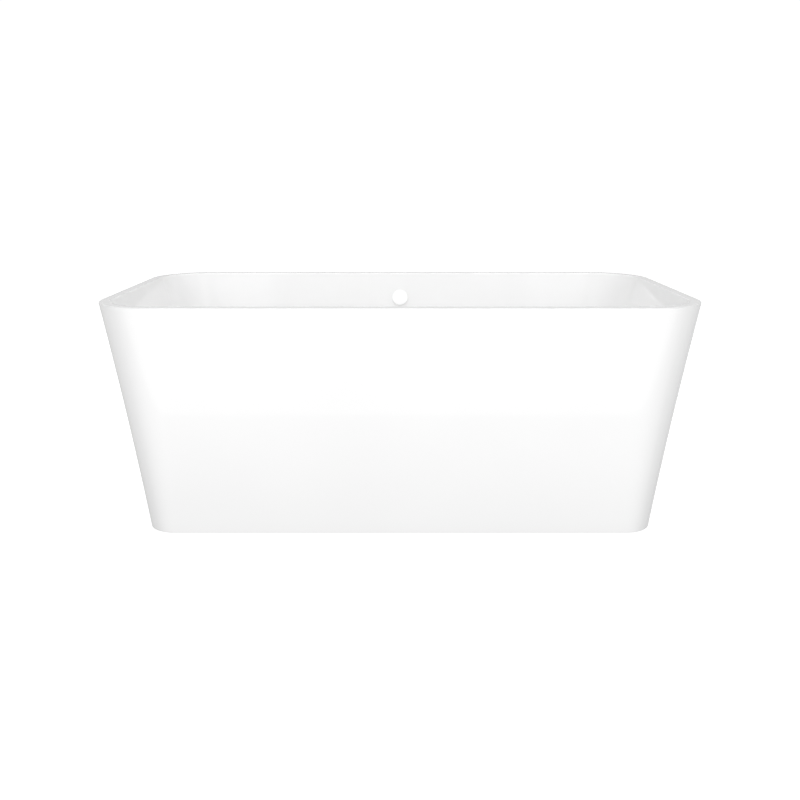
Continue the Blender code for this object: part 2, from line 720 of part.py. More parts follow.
def build_hose(frame, materials):
    """The overflow hose: down between the shells, under the back rail and into the waste body."""
    start = on_wall(frame, HOSE_START, SPIGOT_DEPTH)
    straight = [on_wall(frame, HOSE_START - drop, SPIGOT_DEPTH) for drop in (0.020, 0.045)]
    behind_wall = [(0.337, 0.340), (0.319, 0.245), (0.298, 0.172)]
    under_floor = [(0.256, 0.121), (0.195, 0.1025), (0.130, INLET_Z)]
    end = 0.043
    route = [start, *straight, *(Vector((0, y, z)) for y, z in behind_wall + under_floor)]
    route += [Vector((0, y, INLET_Z)) for y in (0.090, 0.066, end)]
    points = smooth_route(route, 0.035)
    pipe("overflow_hose", points, HOSE_RADIUS, HOSE_WALL, materials["grey_hose"])
    band = ring_profile(HOSE_RADIUS + GAP, CLIP_RADIUS, -CLIP_WIDTH / 2, CLIP_WIDTH / 2)
    clips = (
        ("hose_clip_top", (0, HOSE_START - 0.009, SPIGOT_DEPTH), frame),
        ("hose_clip_bottom", (0, end + 0.010, INLET_Z), None),
    )
    for name, place, parent in clips:
        clip = turned(name, band, materials["zinc_steel"], place, parent)
        clip.rotation_euler = (math.pi / 2, 0, 0)


# --- Trap ------------------------------------------------------------------------------------


def build_trap(materials):
    plastic, rubber = materials["white_plastic"], materials["rubber"]
    washer_top = OUTLET_BOTTOM - GAP
    washer = ring_profile(0.0178, 0.0218, COLLAR_TOP + GAP, washer_top)
    turned("trap_inlet_washer", washer, rubber)
    union_nut("trap_inlet_nut", (0.0290, 0.0215), COLLAR_TOP, (0, 0, 0), None, plastic)

    axis = add_empty("trap axis", (0, 0, 0))
    collar = COLLAR_RADIUS / PIPE_RADIUS
    thread = OUTLET_RADIUS / PIPE_RADIUS
    below_collar = COLLAR_TOP - COLLAR_HEIGHT
    low = arc(LOW_BEND, LOW_BEND_Z, LOW_BEND, 180, 360, 8)
    high = arc(2 * LOW_BEND + HIGH_BEND, HIGH_BEND_Z, HIGH_BEND, 180, 0, 8)
    head = [Vector((0, 0, z)) for z in (COLLAR_TOP, below_collar, below_collar - 0.0002)]
    tail = [Vector((OUTLET_X, 0, z)) for z in (HIGH_BEND_Z - 0.0005, TRAP_END_Z)]
    sizes = [collar, collar, 1.0, *[1.0] * (len(low) + len(high)), thread, thread]
    pipe("trap_body", [*head, *low, *high, *tail], PIPE_RADIUS, PIPE_WALL, plastic, axis, sizes)

    collar_top = TRAP_END_Z - 0.0026
    washer = ring_profile(0.0178, 0.0218, collar_top + GAP, TRAP_END_Z - GAP)
    turned("trap_outlet_washer", washer, rubber, (OUTLET_X, 0, 0), axis)
    union_nut("trap_outlet_nut", (0.0275, 0.0155), collar_top, (OUTLET_X, 0, 0), axis, plastic)
    bore = PIPE_RADIUS - PIPE_WALL
    outlet = [
        (bore, collar_top),
        (COLLAR_RADIUS, collar_top),
        (COLLAR_RADIUS, collar_top - COLLAR_HEIGHT),
        (PIPE_RADIUS, collar_top - COLLAR_HEIGHT),
        (PIPE_RADIUS, PIPE_END_Z),
        (bore, PIPE_END_Z),
    ]
    turned("outlet_pipe", outlet, plastic, (OUTLET_X, 0, 0), axis)


def union_nut(name, size, collar_top, location, parent, material):
    """A nut, of a radius and height, with a lip that holds a collar up against the thread above it."""
    radius, height = size
    thread, hole, lip = OUTLET_RADIUS + 0.0004, PIPE_RADIUS + 0.0004, 0.0034
    lip_top = collar_top - COLLAR_HEIGHT - GAP
    top, bottom = lip_top + height, lip_top - lip
    profile = [
        (thread, top),
        (radius - 0.002, top),
        (radius, top - 0.002),
        (radius, bottom + 0.002),
        (radius - 0.002, bottom),
        (hole, bottom),
        (hole, lip_top),
        (thread, lip_top),
    ]
    return turned(name, profile, material, location, parent)


def main():
    clear_scene()
    materials = make_materials()
    basin = build_basin(materials["acrylic"])
    build_skirt(materials["acrylic"])
    build_rim_bond_bead(materials["adhesive"])
    build_board(materials["board"])
    build_frame(materials["zinc_steel"])
    build_board_screws(materials["zinc_steel"])
    build_skirt_ties(materials["zinc_steel"])
    build_feet(materials)
    build_waste(materials)
    build_overflow(basin, materials)
    build_trap(materials)


main()
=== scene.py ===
import json
from functools import partial
from math import ceil, copysign, cos, fmod, pi, radians, remainder, sin, sqrt, tan

import bmesh
import bpy
from mathutils import Matrix, Vector


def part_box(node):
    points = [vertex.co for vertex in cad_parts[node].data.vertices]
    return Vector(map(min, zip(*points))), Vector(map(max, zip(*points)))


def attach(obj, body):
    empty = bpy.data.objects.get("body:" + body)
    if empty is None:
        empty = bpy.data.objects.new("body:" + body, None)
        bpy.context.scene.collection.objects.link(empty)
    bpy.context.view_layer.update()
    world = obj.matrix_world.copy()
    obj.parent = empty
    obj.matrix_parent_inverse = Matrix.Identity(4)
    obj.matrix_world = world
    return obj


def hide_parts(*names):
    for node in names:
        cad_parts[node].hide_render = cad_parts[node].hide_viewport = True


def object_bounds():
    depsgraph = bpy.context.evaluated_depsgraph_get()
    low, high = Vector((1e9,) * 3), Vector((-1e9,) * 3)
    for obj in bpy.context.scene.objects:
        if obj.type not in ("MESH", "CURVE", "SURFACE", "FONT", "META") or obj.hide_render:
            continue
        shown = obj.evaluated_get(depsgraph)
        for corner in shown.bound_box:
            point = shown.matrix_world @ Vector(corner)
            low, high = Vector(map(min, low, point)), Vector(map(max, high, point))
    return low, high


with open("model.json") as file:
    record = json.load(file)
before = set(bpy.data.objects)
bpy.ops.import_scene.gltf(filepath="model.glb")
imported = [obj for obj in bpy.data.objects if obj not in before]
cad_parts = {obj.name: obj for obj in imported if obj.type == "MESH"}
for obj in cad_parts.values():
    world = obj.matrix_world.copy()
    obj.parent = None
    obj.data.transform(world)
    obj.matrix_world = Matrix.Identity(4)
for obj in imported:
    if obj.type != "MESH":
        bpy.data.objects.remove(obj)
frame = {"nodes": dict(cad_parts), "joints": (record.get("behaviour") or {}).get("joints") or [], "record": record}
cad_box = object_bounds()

# Outer shell: a rounded rectangle at the floor that grows to a larger one at the rim.
LENGTH, WIDTH, HEIGHT = 1.500, 0.800, cad_box[1].z
BASE_LENGTH, BASE_WIDTH = 1.318, 0.650
TOP_RADIUS, BASE_RADIUS = 0.160, 0.080
WALL_BOW = 0.0027
BASIN_THICKNESS, SKIRT_THICKNESS = 0.006, 0.005
GAP = 0.0003
SKIRT_BOTTOM, BOTTOM_FLANGE, TOP_FLANGE = 0.0008, 0.030, 0.018
HEM_ROUND = 0.0004

# Rim and basin.
RIM_WIDTH, RIM_EDGE, RIM_ROUND, LIP_DEPTH = 0.028, 0.004, 0.003, 0.012
END_SLOPE, SIDE_SLOPE = radians(20), radians(14)
FILLET = 0.075
FLOOR_EDGE, FLOOR_DRAIN = 0.174, 0.168
CORNER_TIGHTENING = 0.35
DRAIN_RADIUS, RECESS_RADIUS, WASTE_HOLE, RECESS_DEPTH = 0.048, 0.040, 0.0243, 0.005
RECESS_Z = FLOOR_DRAIN - RECESS_DEPTH

# Board and frame under the floor.
CROSS_BARS = ("cross_bar_left", "cross_bar_middle", "cross_bar_right")
TUBE, TUBE_WALL, TUBE_ROUND = 0.025, 0.002, 0.003
SCREW_HOLE, STUD_HOLE = 0.0028, 0.0070
BOARD_RADIUS, BOARD_HOLE, BOARD_SCREW_HOLE = 0.05, 0.060, 0.0025
TIE_WIDTH, TIE_THICKNESS, TIE_BEND = 0.030, 0.003, 0.006
BOLT_RADIUS, BOLT_HEIGHT = 0.0046, 0.0032
WELD_RADIUS, WELD_RIPPLE = 0.0022, 0.0016

# Levelling feet: M12 studs.
STUD_RADIUS, STUD_CLEARANCE, THREAD_DEPTH, THREAD_PITCH = 0.0060, 0.0063, 0.0009, 0.00175
NUT_RADIUS, PAD_RADIUS = 0.011, 0.025

# Waste, on the Z axis, and the trap that hangs from it.
BRIM_RADIUS, BRIM_TOP = 0.035, RECESS_Z + 0.0045
TAIL_RADIUS, TAIL_BORE, TAIL_BOTTOM = 0.0230, 0.0205, 0.132
HUB_BORE, HUB_RADIUS, HUB_BOTTOM, HUB_TOP = 0.0078, 0.0105, 0.142, 0.150
CAP_RADIUS, STEM_RADIUS, SEAL_RADIUS = 0.0315, 0.0035, 0.033
OUTLET_RADIUS, OUTLET_BOTTOM = 0.0220, 0.0725
INLET_Z, INLET_LENGTH = 0.102, 0.062
PIPE_RADIUS, PIPE_WALL = 0.0200, 0.0022
COLLAR_RADIUS, COLLAR_HEIGHT, COLLAR_TOP = 0.0218, 0.004, 0.0697
LOW_BEND, HIGH_BEND, LOW_BEND_Z, HIGH_BEND_Z = 0.030, 0.026, 0.058, 0.066
OUTLET_X = 2 * LOW_BEND + 2 * HIGH_BEND
TRAP_END_Z = 0.056

# Overflow, on an axis square to the back wall.
OVERFLOW_AXIS = Vector(next(joint["axis"] for joint in frame["joints"] if joint["name"] == "cover_pull"))
SEAL_DEPTH = 0.0073  # from the wall's face to the middle of the seal behind it
OVERFLOW_HOLE = 0.0205
COVER_RADIUS, COVER_STANDOFF, COVER_THICKNESS = 0.025, 0.0020, 0.0020
INSERT_RADIUS, INSERT_TUBE, INSERT_BORE, INSERT_FRONT, INSERT_END = 0.0225, 0.0180, 0.0155, 0.0012, -0.0165
BODY_FRONT = -BASIN_THICKNESS - 0.0026
BODY_DEPTH, BODY_WIDTH, BODY_WALL, BODY_ROUND = 0.0140, 0.056, 0.002, 0.004
BODY_TOP, BODY_BOTTOM = 0.024, -0.034
SPIGOT_DEPTH, SPIGOT_RADIUS, SPIGOT_BORE, SPIGOT_END = -0.0203, 0.0092, 0.0056, -0.062
SOCKET_RADIUS, SOCKET_TOP, SOCKET_END = 0.0115, -0.030, -0.042
HOSE_RADIUS, HOSE_BORE, HOSE_START, HOSE_END = 0.0125, 0.0100, -0.044, 0.043
HOSE_CUFF, HOSE_PITCH, HOSE_WAVE = 0.024, 0.005, 0.0013
CLIP_RADIUS, CLIP_WIDTH = 0.0136, 0.008

SLOTS = {row["node"]: row["material_slot"] for row in frame["record"]["subparts"]}
BODIES = {node: body for body, nodes in frame["record"]["behaviour"]["bodies"].items() for node in nodes}

CORNER_STEPS = 24
STRAIGHT_SHARES = (0.02, 0.25, 0.5, 0.75, 0.98)
ALONG_Y = Matrix.Rotation(pi / 2, 4, "X")  # lays what stands on Z along Y
ROUND_STEPS = 96


# --- Materials ---


def set_sockets(tree, node, **sockets):
    """Sets a node's inputs to values, or links them to outputs; in a name, _ stands for a space."""
    for name, value in sockets.items():
        socket = node.inputs[name.replace("_", " ")]
        if isinstance(value, bpy.types.NodeSocket):
            tree.links.new(value, socket)
        else:
            socket.default_value = value


def add_node(tree, kind, **sockets):
    node = tree.nodes.new(f"ShaderNode{kind}")
    set_sockets(tree, node, **sockets)
    return node


def new_material(name, **sockets):
    """A Principled material with its constant sockets set, and its node tree."""
    material = bpy.data.materials.new(name)
    material.use_nodes = True
    tree = material.node_tree
    set_sockets(tree, tree.nodes["Principled BSDF"], **sockets)
    return material, tree


def texture(tree, kind, scale, stretch=(1, 1, 1), **sockets):
    """A procedural texture in the object's own coordinates; returns its main output."""
    coordinates = add_node(tree, "TexCoord").outputs["Object"]
    mapped = add_node(tree, "Mapping", Vector=coordinates, Scale=stretch).outputs["Vector"]
    return add_node(tree, f"Tex{kind}", Vector=mapped, Scale=scale, **sockets).outputs[0]


def ramp(tree, factor, stops):
    """A colour ramp from (position, colour) stops, where a colour may be one grey number."""
    node = add_node(tree, "ValToRGB", Fac=factor)
    elements = node.color_ramp.elements
    while len(elements) < len(stops):
        elements.new(0.5)
    for element, (position, colour) in zip(elements, stops):
        element.position = position
        grey = isinstance(colour, float)
        element.color = (colour, colour, colour, 1) if grey else (*colour, 1)
    return node.outputs["Color"]


def finish(tree, colour, roughness, relief=None):
    """Links a colour ramp, a (factor, low, high) roughness and a (texture, strength, distance) bump."""
    shader = tree.nodes["Principled BSDF"]
    factor, low, high = roughness
    polish = add_node(tree, "MapRange", Value=factor, To_Min=low, To_Max=high).outputs["Result"]
    set_sockets(tree, shader, Base_Color=ramp(tree, *colour), Roughness=polish)
    if relief:
        height, strength, distance = relief
        bump = add_node(tree, "Bump", Height=height, Strength=strength, Distance=distance)
        set_sockets(tree, shader, Normal=bump.outputs["Normal"])


def acrylic():
    material, tree = new_material("glossy acrylic", IOR=1.49, Coat_Weight=0.25, Coat_Roughness=0.02)
    tone = texture(tree, "Noise", 2.5, Detail=3.0)
    polish = texture(tree, "Noise", 35.0, Detail=6.0, Roughness=0.6)
    peel = texture(tree, "Noise", 420.0, Detail=2.0)
    finish(tree, (tone, [(0.3, 0.895), (0.7, 0.915)]), (polish, 0.02, 0.045), (peel, 0.02, 0.0002))
    return material


def glass_mat():
    """The back of an acrylic shell: chopped strands of glass under cloudy resin."""
    material, tree = new_material("fibreglass backing")
    strands = texture(tree, "Voronoi", 160.0, stretch=(1, 0.25, 1))
    strands.node.feature = "DISTANCE_TO_EDGE"
    cloud = texture(tree, "Noise", 14.0, Detail=6.0, Roughness=0.65)
    resin = [(0.3, (0.70, 0.68, 0.58)), (0.55, (0.80, 0.79, 0.72)), (0.75, (0.86, 0.85, 0.80))]
    finish(tree, (cloud, resin), (cloud, 0.35, 0.7), (strands, 0.6, 0.0012))
    return material


def zinc():
    """Bright zinc plate: small spangles, a faint blue and yellow cast."""
    material, tree = new_material("zinc-plated steel", Metallic=1.0)
    spangle = texture(tree, "Voronoi", 110.0)
    wear = texture(tree, "Noise", 25.0, Detail=8.0, Roughness=0.7)
    colours = [(0.25, (0.50, 0.51, 0.52)), (0.5, (0.62, 0.63, 0.63)), (0.75, (0.66, 0.64, 0.58))]
    finish(tree, (wear, colours), (wear, 0.28, 0.55), (spangle, 0.15, 0.0003))
    return material


def board():
    """Pressed wood board, with small chips of several browns."""
    material, tree = new_material("pressed board")
    chips = texture(tree, "Voronoi", 260.0, stretch=(1, 0.4, 1)).node.outputs["Color"]
    grain = texture(tree, "Noise", 320.0, stretch=(0.3, 1, 1), Detail=6.0, Roughness=0.7)
    browns = [(0.1, (0.38, 0.27, 0.16)), (0.5, (0.56, 0.43, 0.27)), (0.9, (0.68, 0.54, 0.36))]
    finish(tree, (chips, browns), (grain, 0.65, 0.9), (grain, 0.4, 0.0004))
    return material


def plain_plastic(name, dark, light, roughness, grain_scale):
    """Moulded plastic with a fine eroded grain."""
    material, tree = new_material(name)
    tone = texture(tree, "Noise", 18.0, Detail=5.0, Roughness=0.6)
    grain = texture(tree, "Noise", grain_scale, Detail=2.0)
    finish(tree, (tone, [(0.3, dark), (0.7, light)]), (tone, *roughness), (grain, 0.12, 0.0003))
    return material


def one_noise(name, scale, detail, stops, roughness, relief=(), grain=0.5, **sockets):
    """A material whose colour, roughness and bump all follow one noise."""
    material, tree = new_material(name, **sockets)
    noise = texture(tree, "Noise", scale, Detail=detail, Roughness=grain)
    finish(tree, (noise, stops), (noise, *roughness), relief and (noise, *relief))
    return material


PALE_WHITE, WHITE = (0.80, 0.80, 0.78), (0.86, 0.86, 0.84)
TRIM_WHITES = [(0.3, 0.985), (0.7, 0.995)]
TRIM_GLOSS = {"IOR": 2.0, "Coat_Weight": 1.0, "Coat_IOR": 2.0, "Coat_Roughness": 0.03}
CHROME_GREYS = [(0.35, 0.80), (0.7, 0.87)]
ADHESIVE_WHITES = [(0.3, (0.74, 0.73, 0.68)), (0.7, (0.83, 0.82, 0.78))]

MATERIALS = {
    "acrylic": acrylic(),
    "backing": glass_mat(),
    "white_trim": one_noise("white trim", 40.0, 2.0, TRIM_WHITES, (0.05, 0.09), **TRIM_GLOSS),
    "adhesive": one_noise("adhesive bead", 45.0, 4.0, ADHESIVE_WHITES, (0.4, 0.7), (0.5, 0.002)),
    "board": board(),
    "zinc_steel": zinc(),
    "black_plastic": plain_plastic("black nylon", 0.018, 0.032, (0.45, 0.62), 700.0),
    "chrome": one_noise("chrome", 60.0, 8.0, CHROME_GREYS, (0.03, 0.16), grain=0.7, Metallic=1.0),
    "rubber": plain_plastic("black rubber", 0.022, 0.034, (0.7, 0.88), 500.0),
    "white_plastic": plain_plastic("white polypropylene", PALE_WHITE, WHITE, (0.30, 0.42), 600.0),
    "grey_hose": plain_plastic("grey hose", (0.58, 0.59, 0.60), (0.66, 0.67, 0.68), (0.38, 0.52), 500.0),
}


# --- Building blocks ---


def add_object(name, data, place=None):
    obj = bpy.data.objects.new(name, data)
    obj.matrix_world = place or Matrix.Identity(4)
    bpy.context.scene.collection.objects.link(obj)
    return obj


def mesh_from(shape):
    mesh = bpy.data.meshes.new("shape")
    shape.to_mesh(mesh)
    shape.free()
    return mesh


def middle_of(node):
    low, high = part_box(node)
    return (low + high) / 2


def axis_of(node):
    """The move to the upright axis through a CAD node's middle."""
    middle = middle_of(node)
    return move(middle.x, middle.y, 0)


def boolean(operation, obj, data, matrix=None):
    """Adds or cuts a mesh, in the object's own frame."""
    other = add_object("tool", data, obj.matrix_world @ (matrix or Matrix.Identity(4)))
    modifier = obj.modifiers.new(operation.lower(), "BOOLEAN")
    modifier.operation = operation
    modifier.solver = "EXACT"
    modifier.object = other


fuse = partial(boolean, "UNION")
cut = partial(boolean, "DIFFERENCE")


def evaluated_mesh(obj):
    """A mesh of the object with its modifiers applied."""
    bpy.context.view_layer.update()
    return bpy.data.meshes.new_from_object(obj.evaluated_get(bpy.context.evaluated_depsgraph_get()))


def piece(obj, node, sharp=35, replaces=True):
    """Finishes an object as a piece with a CAD node's body and material, which may replace that node.

    Its modifiers are applied and their tools removed. Only edges that bend more than sharp, in degrees,
    stay hard.
    """
    tools = [modifier.object for modifier in obj.modifiers if modifier.type == "BOOLEAN"]
    mesh = evaluated_mesh(obj)
    mesh.name = obj.name
    obj.modifiers.clear()
    obj.data = mesh
    for tool in tools:
        bpy.data.objects.remove(tool, do_unlink=True)
    mesh.shade_smooth()
    mesh.set_sharp_from_angle(angle=radians(sharp))
    if not obj.data.materials:
        obj.data.materials.append(MATERIALS[SLOTS[node]])
    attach(obj, BODIES[node])
    if replaces:
        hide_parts(node)


def moved(mesh, matrix):
    mesh = mesh.copy()
    mesh.transform(matrix)
    return mesh


def joined(*meshes):
    shape = bmesh.new()
    for mesh in meshes:
        shape.from_mesh(mesh)
    return mesh_from(shape)


def move(x, y, z):
    return Matrix.Translation((x, y, z))


def box_shape(size):
    shape = bmesh.new()
    bmesh.ops.create_cube(shape, size=1.0)
    bmesh.ops.scale(shape, vec=size, verts=shape.verts)
    return shape


def rounded_box(size, radius, segments=4):
    """A box with its edges rounded."""
    shape = box_shape(size)
    bmesh.ops.bevel(shape, geom=shape.edges, offset=radius, segments=segments, profile=0.5, affect="EDGES")
    return mesh_from(shape)


def skin(shape, row, next_row):
    """Faces between two closed rows of as many vertices."""
    for i in range(len(row)):
        j = (i + 1) % len(row)
        shape.faces.new((row[i], row[j], next_row[j], next_row[i]))


def swept(rows, closed_ends=False):
    """A skin over rows of points. Its ends are closed with faces, or the last row is joined to the first."""
    shape = bmesh.new()
    grid = [[shape.verts.new(point) for point in row] for row in rows]
    if closed_ends:
        shape.faces.new(grid[0][::-1])
        shape.faces.new(grid[-1])
    for row, next_row in zip(grid, grid[1:]):
        skin(shape, row, next_row)
    if not closed_ends:
        skin(shape, grid[-1], grid[0])
    bmesh.ops.recalc_face_normals(shape, faces=shape.faces)
    return mesh_from(shape)


def full_turn(steps):
    return [2 * pi * step / steps for step in range(steps)]


def ring_round(place, along, side, radius, steps, change=None):
    """Points of a circle round a route at a place. change(angle) adds to the radius."""
    up = along.cross(side).normalized()
    points = []
    for angle in full_turn(steps):
        reach = radius + (change(angle) if change else 0.0)
        points.append(place + reach * (cos(angle) * side + sin(angle) * up))
    return points


def corner_arc(start, corner, end, steps):
    """Points of a small arc that rounds a corner."""
    shares = [step / steps for step in range(steps + 1)]
    return [(1 - t) ** 2 * start + 2 * t * (1 - t) * corner + t**2 * end for t in shares]


def smooth_route(points, spacing):
    """Points about spacing apart on a smooth curve through the given ones."""
    ends = [2 * points[0] - points[1], *points, 2 * points[-1] - points[-2]]
    route = []
    for before, a, b, after in zip(ends, ends[1:], ends[2:], ends[3:]):
        count = max(1, round((b - a).length / spacing))
        for step in range(count):
            t = step / count
            bend = 2 * before - 5 * a + 4 * b - after
            rate = 3 * a - before - 3 * b + after
            route.append(a + 0.5 * t * ((b - before) + t * (bend + t * rate)))
    return [*route, points[-1]]


def directions(route):
    """The route's direction at each of its points."""
    ends = [route[0], *route, route[-1]]
    return [(after - before).normalized() for before, after in zip(ends, ends[2:])]


# --- The two shells ---


def rounded_rectangle(half_length, half_width, radius, steps=CORNER_STEPS, straight=STRAIGHT_SHARES):
    """Points of a rounded rectangle, anticlockwise from +X, with more along each straight side."""
    points = []
    for quarter, (side_x, side_y) in enumerate(((1, 1), (-1, 1), (-1, -1), (1, -1))):
        for step in range(steps + 1):
            angle = pi / 2 * (quarter + step / steps)
            x = side_x * (half_length - radius) + radius * cos(angle)
            y = side_y * (half_width - radius) + radius * sin(angle)
            points.append((x, y))
        run_x, run_y = (0, -2 * side_y) if quarter % 2 else (-2 * side_x, 0)
        for share in straight:
            along = share * ((half_width if quarter % 2 else half_length) - radius)
            points.append((x + run_x * along, y + run_y * along))
    return points


def outer_ring(z, inset=0.0):
    """The outside of the bath at height z, drawn in by inset."""
    t = z / HEIGHT
    drawn_in = 4 * WALL_BOW * t * (1 - t) + inset
    half_length = (BASE_LENGTH + (LENGTH - BASE_LENGTH) * t) / 2 - drawn_in
    half_width = (BASE_WIDTH + (WIDTH - BASE_WIDTH) * t) / 2 - drawn_in
    radius = BASE_RADIUS + (TOP_RADIUS - BASE_RADIUS) * t - inset
    return [(x, y, z) for x, y in rounded_rectangle(half_length, half_width, radius)]


def wall_inset(z, slope):
    """How far inside the bath's outline a basin wall lies at height z.

    From the top down it is a round rim edge, a straight sloping wall and a round fillet.
    """
    lowest = FLOOR_EDGE + FILLET * (1 - sin(slope))
    height = max(z, lowest)
    drop = HEIGHT - height
    tangent_drop = RIM_ROUND * (1 - sin(slope))
    if drop < tangent_drop:
        return RIM_WIDTH - RIM_ROUND + sqrt(RIM_ROUND**2 - (RIM_ROUND - drop) ** 2)
    on_wall = RIM_WIDTH - RIM_ROUND * (1 - cos(slope)) + (drop - tangent_drop) * tan(slope)
    if z >= lowest:
        return on_wall
    return on_wall + FILLET * cos(slope) - sqrt(FILLET**2 - (FILLET - (z - FLOOR_EDGE)) ** 2)


def basin_ring(z):
    side_inset = wall_inset(z, SIDE_SLOPE)
    radius = TOP_RADIUS - min(side_inset, RIM_WIDTH) - CORNER_TIGHTENING * max(0.0, side_inset - RIM_WIDTH)
    outline = rounded_rectangle(LENGTH / 2 - wall_inset(z, END_SLOPE), WIDTH / 2 - side_inset, radius)
    return [(x, y, z) for x, y in outline]


def drain_ring(radius, z):
    """A nearly round ring, with as many points as the basin's other rings."""
    return [(x, y, z) for x, y in rounded_rectangle(radius, radius, 0.94 * radius)]


def between(ring_a, ring_b, share, sink=0.0):
    return [tuple(Vector(a).lerp(Vector(b), share) - Vector((0, 0, sink))) for a, b in zip(ring_a, ring_b)]


def shell(name, rings, thickness):
    """A sheet through the rings, whose shown side is on the left of the way from ring to ring.

    Its back is fibreglass, and so are the cut edges.
    """
    shape = bmesh.new()
    rows = [[shape.verts.new(point) for point in ring] for ring in rings]
    for row, next_row in zip(rows, rows[1:]):
        skin(shape, row, next_row)
    obj = add_object(name, mesh_from(shape))
    for face in ("acrylic", "backing"):
        obj.data.materials.append(MATERIALS[face])
    sheet = obj.modifiers.new("sheet", "SOLIDIFY")
    sheet.thickness = thickness
    sheet.offset = -1
    sheet.use_even_offset = True
    sheet.material_offset = 1
    sheet.material_offset_rim = 1
    return obj


def angles(start, stop, step):
    return [radians(angle) for angle in range(start, stop + 1, step)]


def rounded_edge(start, radius):
    """Rings round a quarter circle from the wall, at height start, to a flat face above it.

    With a negative radius, the face is below it.
    """
    turns = angles(0, 90, 15)
    return [outer_ring(start + radius * sin(turn), abs(radius) * (1 - cos(turn))) for turn in turns]


def build_basin():
    edge = rounded_edge(HEIGHT - RIM_EDGE, RIM_EDGE)
    rim = [outer_ring(HEIGHT - LIP_DEPTH), outer_ring(HEIGHT - 0.6 * LIP_DEPTH), *edge]
    drops = [RIM_ROUND * (1 - cos(a)) for a in angles(0, 75, 8)]
    walls = [basin_ring(HEIGHT - drop) for drop in (*drops, RIM_ROUND, 0.012, 0.03, 0.10, 0.20, 0.30)]
    fillet = [basin_ring(FLOOR_EDGE + FILLET * (1 - sin(a))) for a in angles(14, 90, 4)]
    drain = drain_ring(DRAIN_RADIUS, FLOOR_DRAIN)
    fillet.append(basin_ring(FLOOR_EDGE))
    floor = [between(fillet[-1], drain, share) for share in (0.15, 0.4, 0.7, 0.94)]
    recess_floor = drain_ring(RECESS_RADIUS, RECESS_Z)
    shares = (0.15, 0.35, 0.65, 0.85)
    slope = [between(drain, recess_floor, t, 0.0012 * sin(pi * t) * (0.5 - t)) for t in shares]
    recess = [drain, *slope, recess_floor, drain_ring(WASTE_HOLE, RECESS_Z)]
    basin = shell("basin_shell", [*rim, *walls, *fillet, *floor, *recess], BASIN_THICKNESS)
    cut(basin, disc(OVERFLOW_HOLE, 0.040), overflow_matrix())
    piece(basin, "basin")


def build_skirt():
    top = HEIGHT - LIP_DEPTH
    low = SKIRT_BOTTOM + HEM_ROUND
    hem = rounded_edge(low, -HEM_ROUND)[::-1]
    levels = [low + (top - low) * step / 16 for step in range(1, 17)]
    flange = outer_ring(SKIRT_BOTTOM, BOTTOM_FLANGE)
    rings = [flange, *hem, *map(outer_ring, levels), outer_ring(top, TOP_FLANGE)]
    piece(shell("skirt_shell", rings, SKIRT_THICKNESS), "skirt")


# --- Turned pieces ---


def rounded(profile, radius, steps=3):
    """The closed profile with each corner cut to a small arc."""
    points = []
    count = len(profile)
    for i, corner in enumerate(profile):
        here = Vector(corner)
        before, after = Vector(profile[i - 1]) - here, Vector(profile[(i + 1) % count]) - here
        on_axis = corner[0] == 0
        straight = abs(before.angle(after, pi) - pi) < radians(12)
        if on_axis or straight:
            points.append(corner)
            continue
        reach = min(radius, 0.45 * before.length, 0.45 * after.length)
        start, end = here + before.normalized() * reach, here + after.normalized() * reach
        points += map(tuple, corner_arc(start, here, end, steps))
    return points


def turned_mesh(profile, steps=ROUND_STEPS, shape_radius=None):
    """A turned solid. shape_radius(radius, height, angle) may flute or rib it."""
    shape = bmesh.new()
    change = shape_radius or (lambda radius, height, angle: radius)
    rows = []
    for radius, height in profile:
        if radius < 1e-7:
            rows.append([shape.verts.new((0, 0, height))])
            continue
        row = []
        for angle in full_turn(steps):
            r = change(radius, height, angle)
            row.append(shape.verts.new((r * cos(angle), r * sin(angle), height)))
        rows.append(row)
    pairs = list(zip(rows, rows[1:]))
    if profile[0][0] > 0:
        pairs.append((rows[-1], rows[0]))
    for upper, lower in pairs:
        for i in range(steps):
            j = (i + 1) % steps
            above = upper[i % len(upper)], upper[j % len(upper)]
            below = lower[i % len(lower)], lower[j % len(lower)]
            corners = list(dict.fromkeys((above[0], *below, above[1])))
            if len(corners) > 2:
                shape.faces.new(corners)
    bmesh.ops.recalc_face_normals(shape, faces=shape.faces)
    return mesh_from(shape)


def draft(name, profile, place=None, round_off=0.0005, steps=ROUND_STEPS, shape_radius=None):
    """An object turned from a closed profile, for more work."""
    return add_object(name, turned_mesh(rounded(profile, round_off), steps, shape_radius), place)


def turned(name, node, *settings):
    """A finished turned piece; the settings are those of draft."""
    piece(draft(name, *settings), node, sharp=50)


def ring_profile(inner, outer, bottom, top):
    """The section of a washer, sleeve or tube, or of a rod with no inner radius."""
    return [(inner, top), (outer, top), (outer, bottom), (inner, bottom)]


def disc(radius, depth, steps=ROUND_STEPS):
    half = depth / 2
    return turned_mesh(ring_profile(0, radius, -half, half), steps)


def hexagon(radius):
    """Limits a turned shape to a hexagon with that radius at its corners."""

    def limit(turned_radius, height, angle):
        from_flat = fmod(angle, pi / 3) - pi / 6
        return min(turned_radius, radius * cos(pi / 6) / cos(from_flat))

    return limit


def ribs(count, depth, inner, top, bottom):
    """Cuts rounded grooves between ribs, from top to bottom, where the turned shape is wider than inner."""

    def groove(radius, height, angle):
        if radius < inner or not bottom < height < top:
            return radius
        return radius - depth * (0.5 - 0.5 * cos(count * angle)) ** 2

    return groove


def build_washer(node, inner, outer):
    """A rubber washer in the place of a CAD one, with rounded edges."""
    low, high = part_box(node)
    turned(f"{node}_ring", node, ring_profile(inner, outer, low.z, high.z), axis_of(node))


# --- Overflow and hose ---


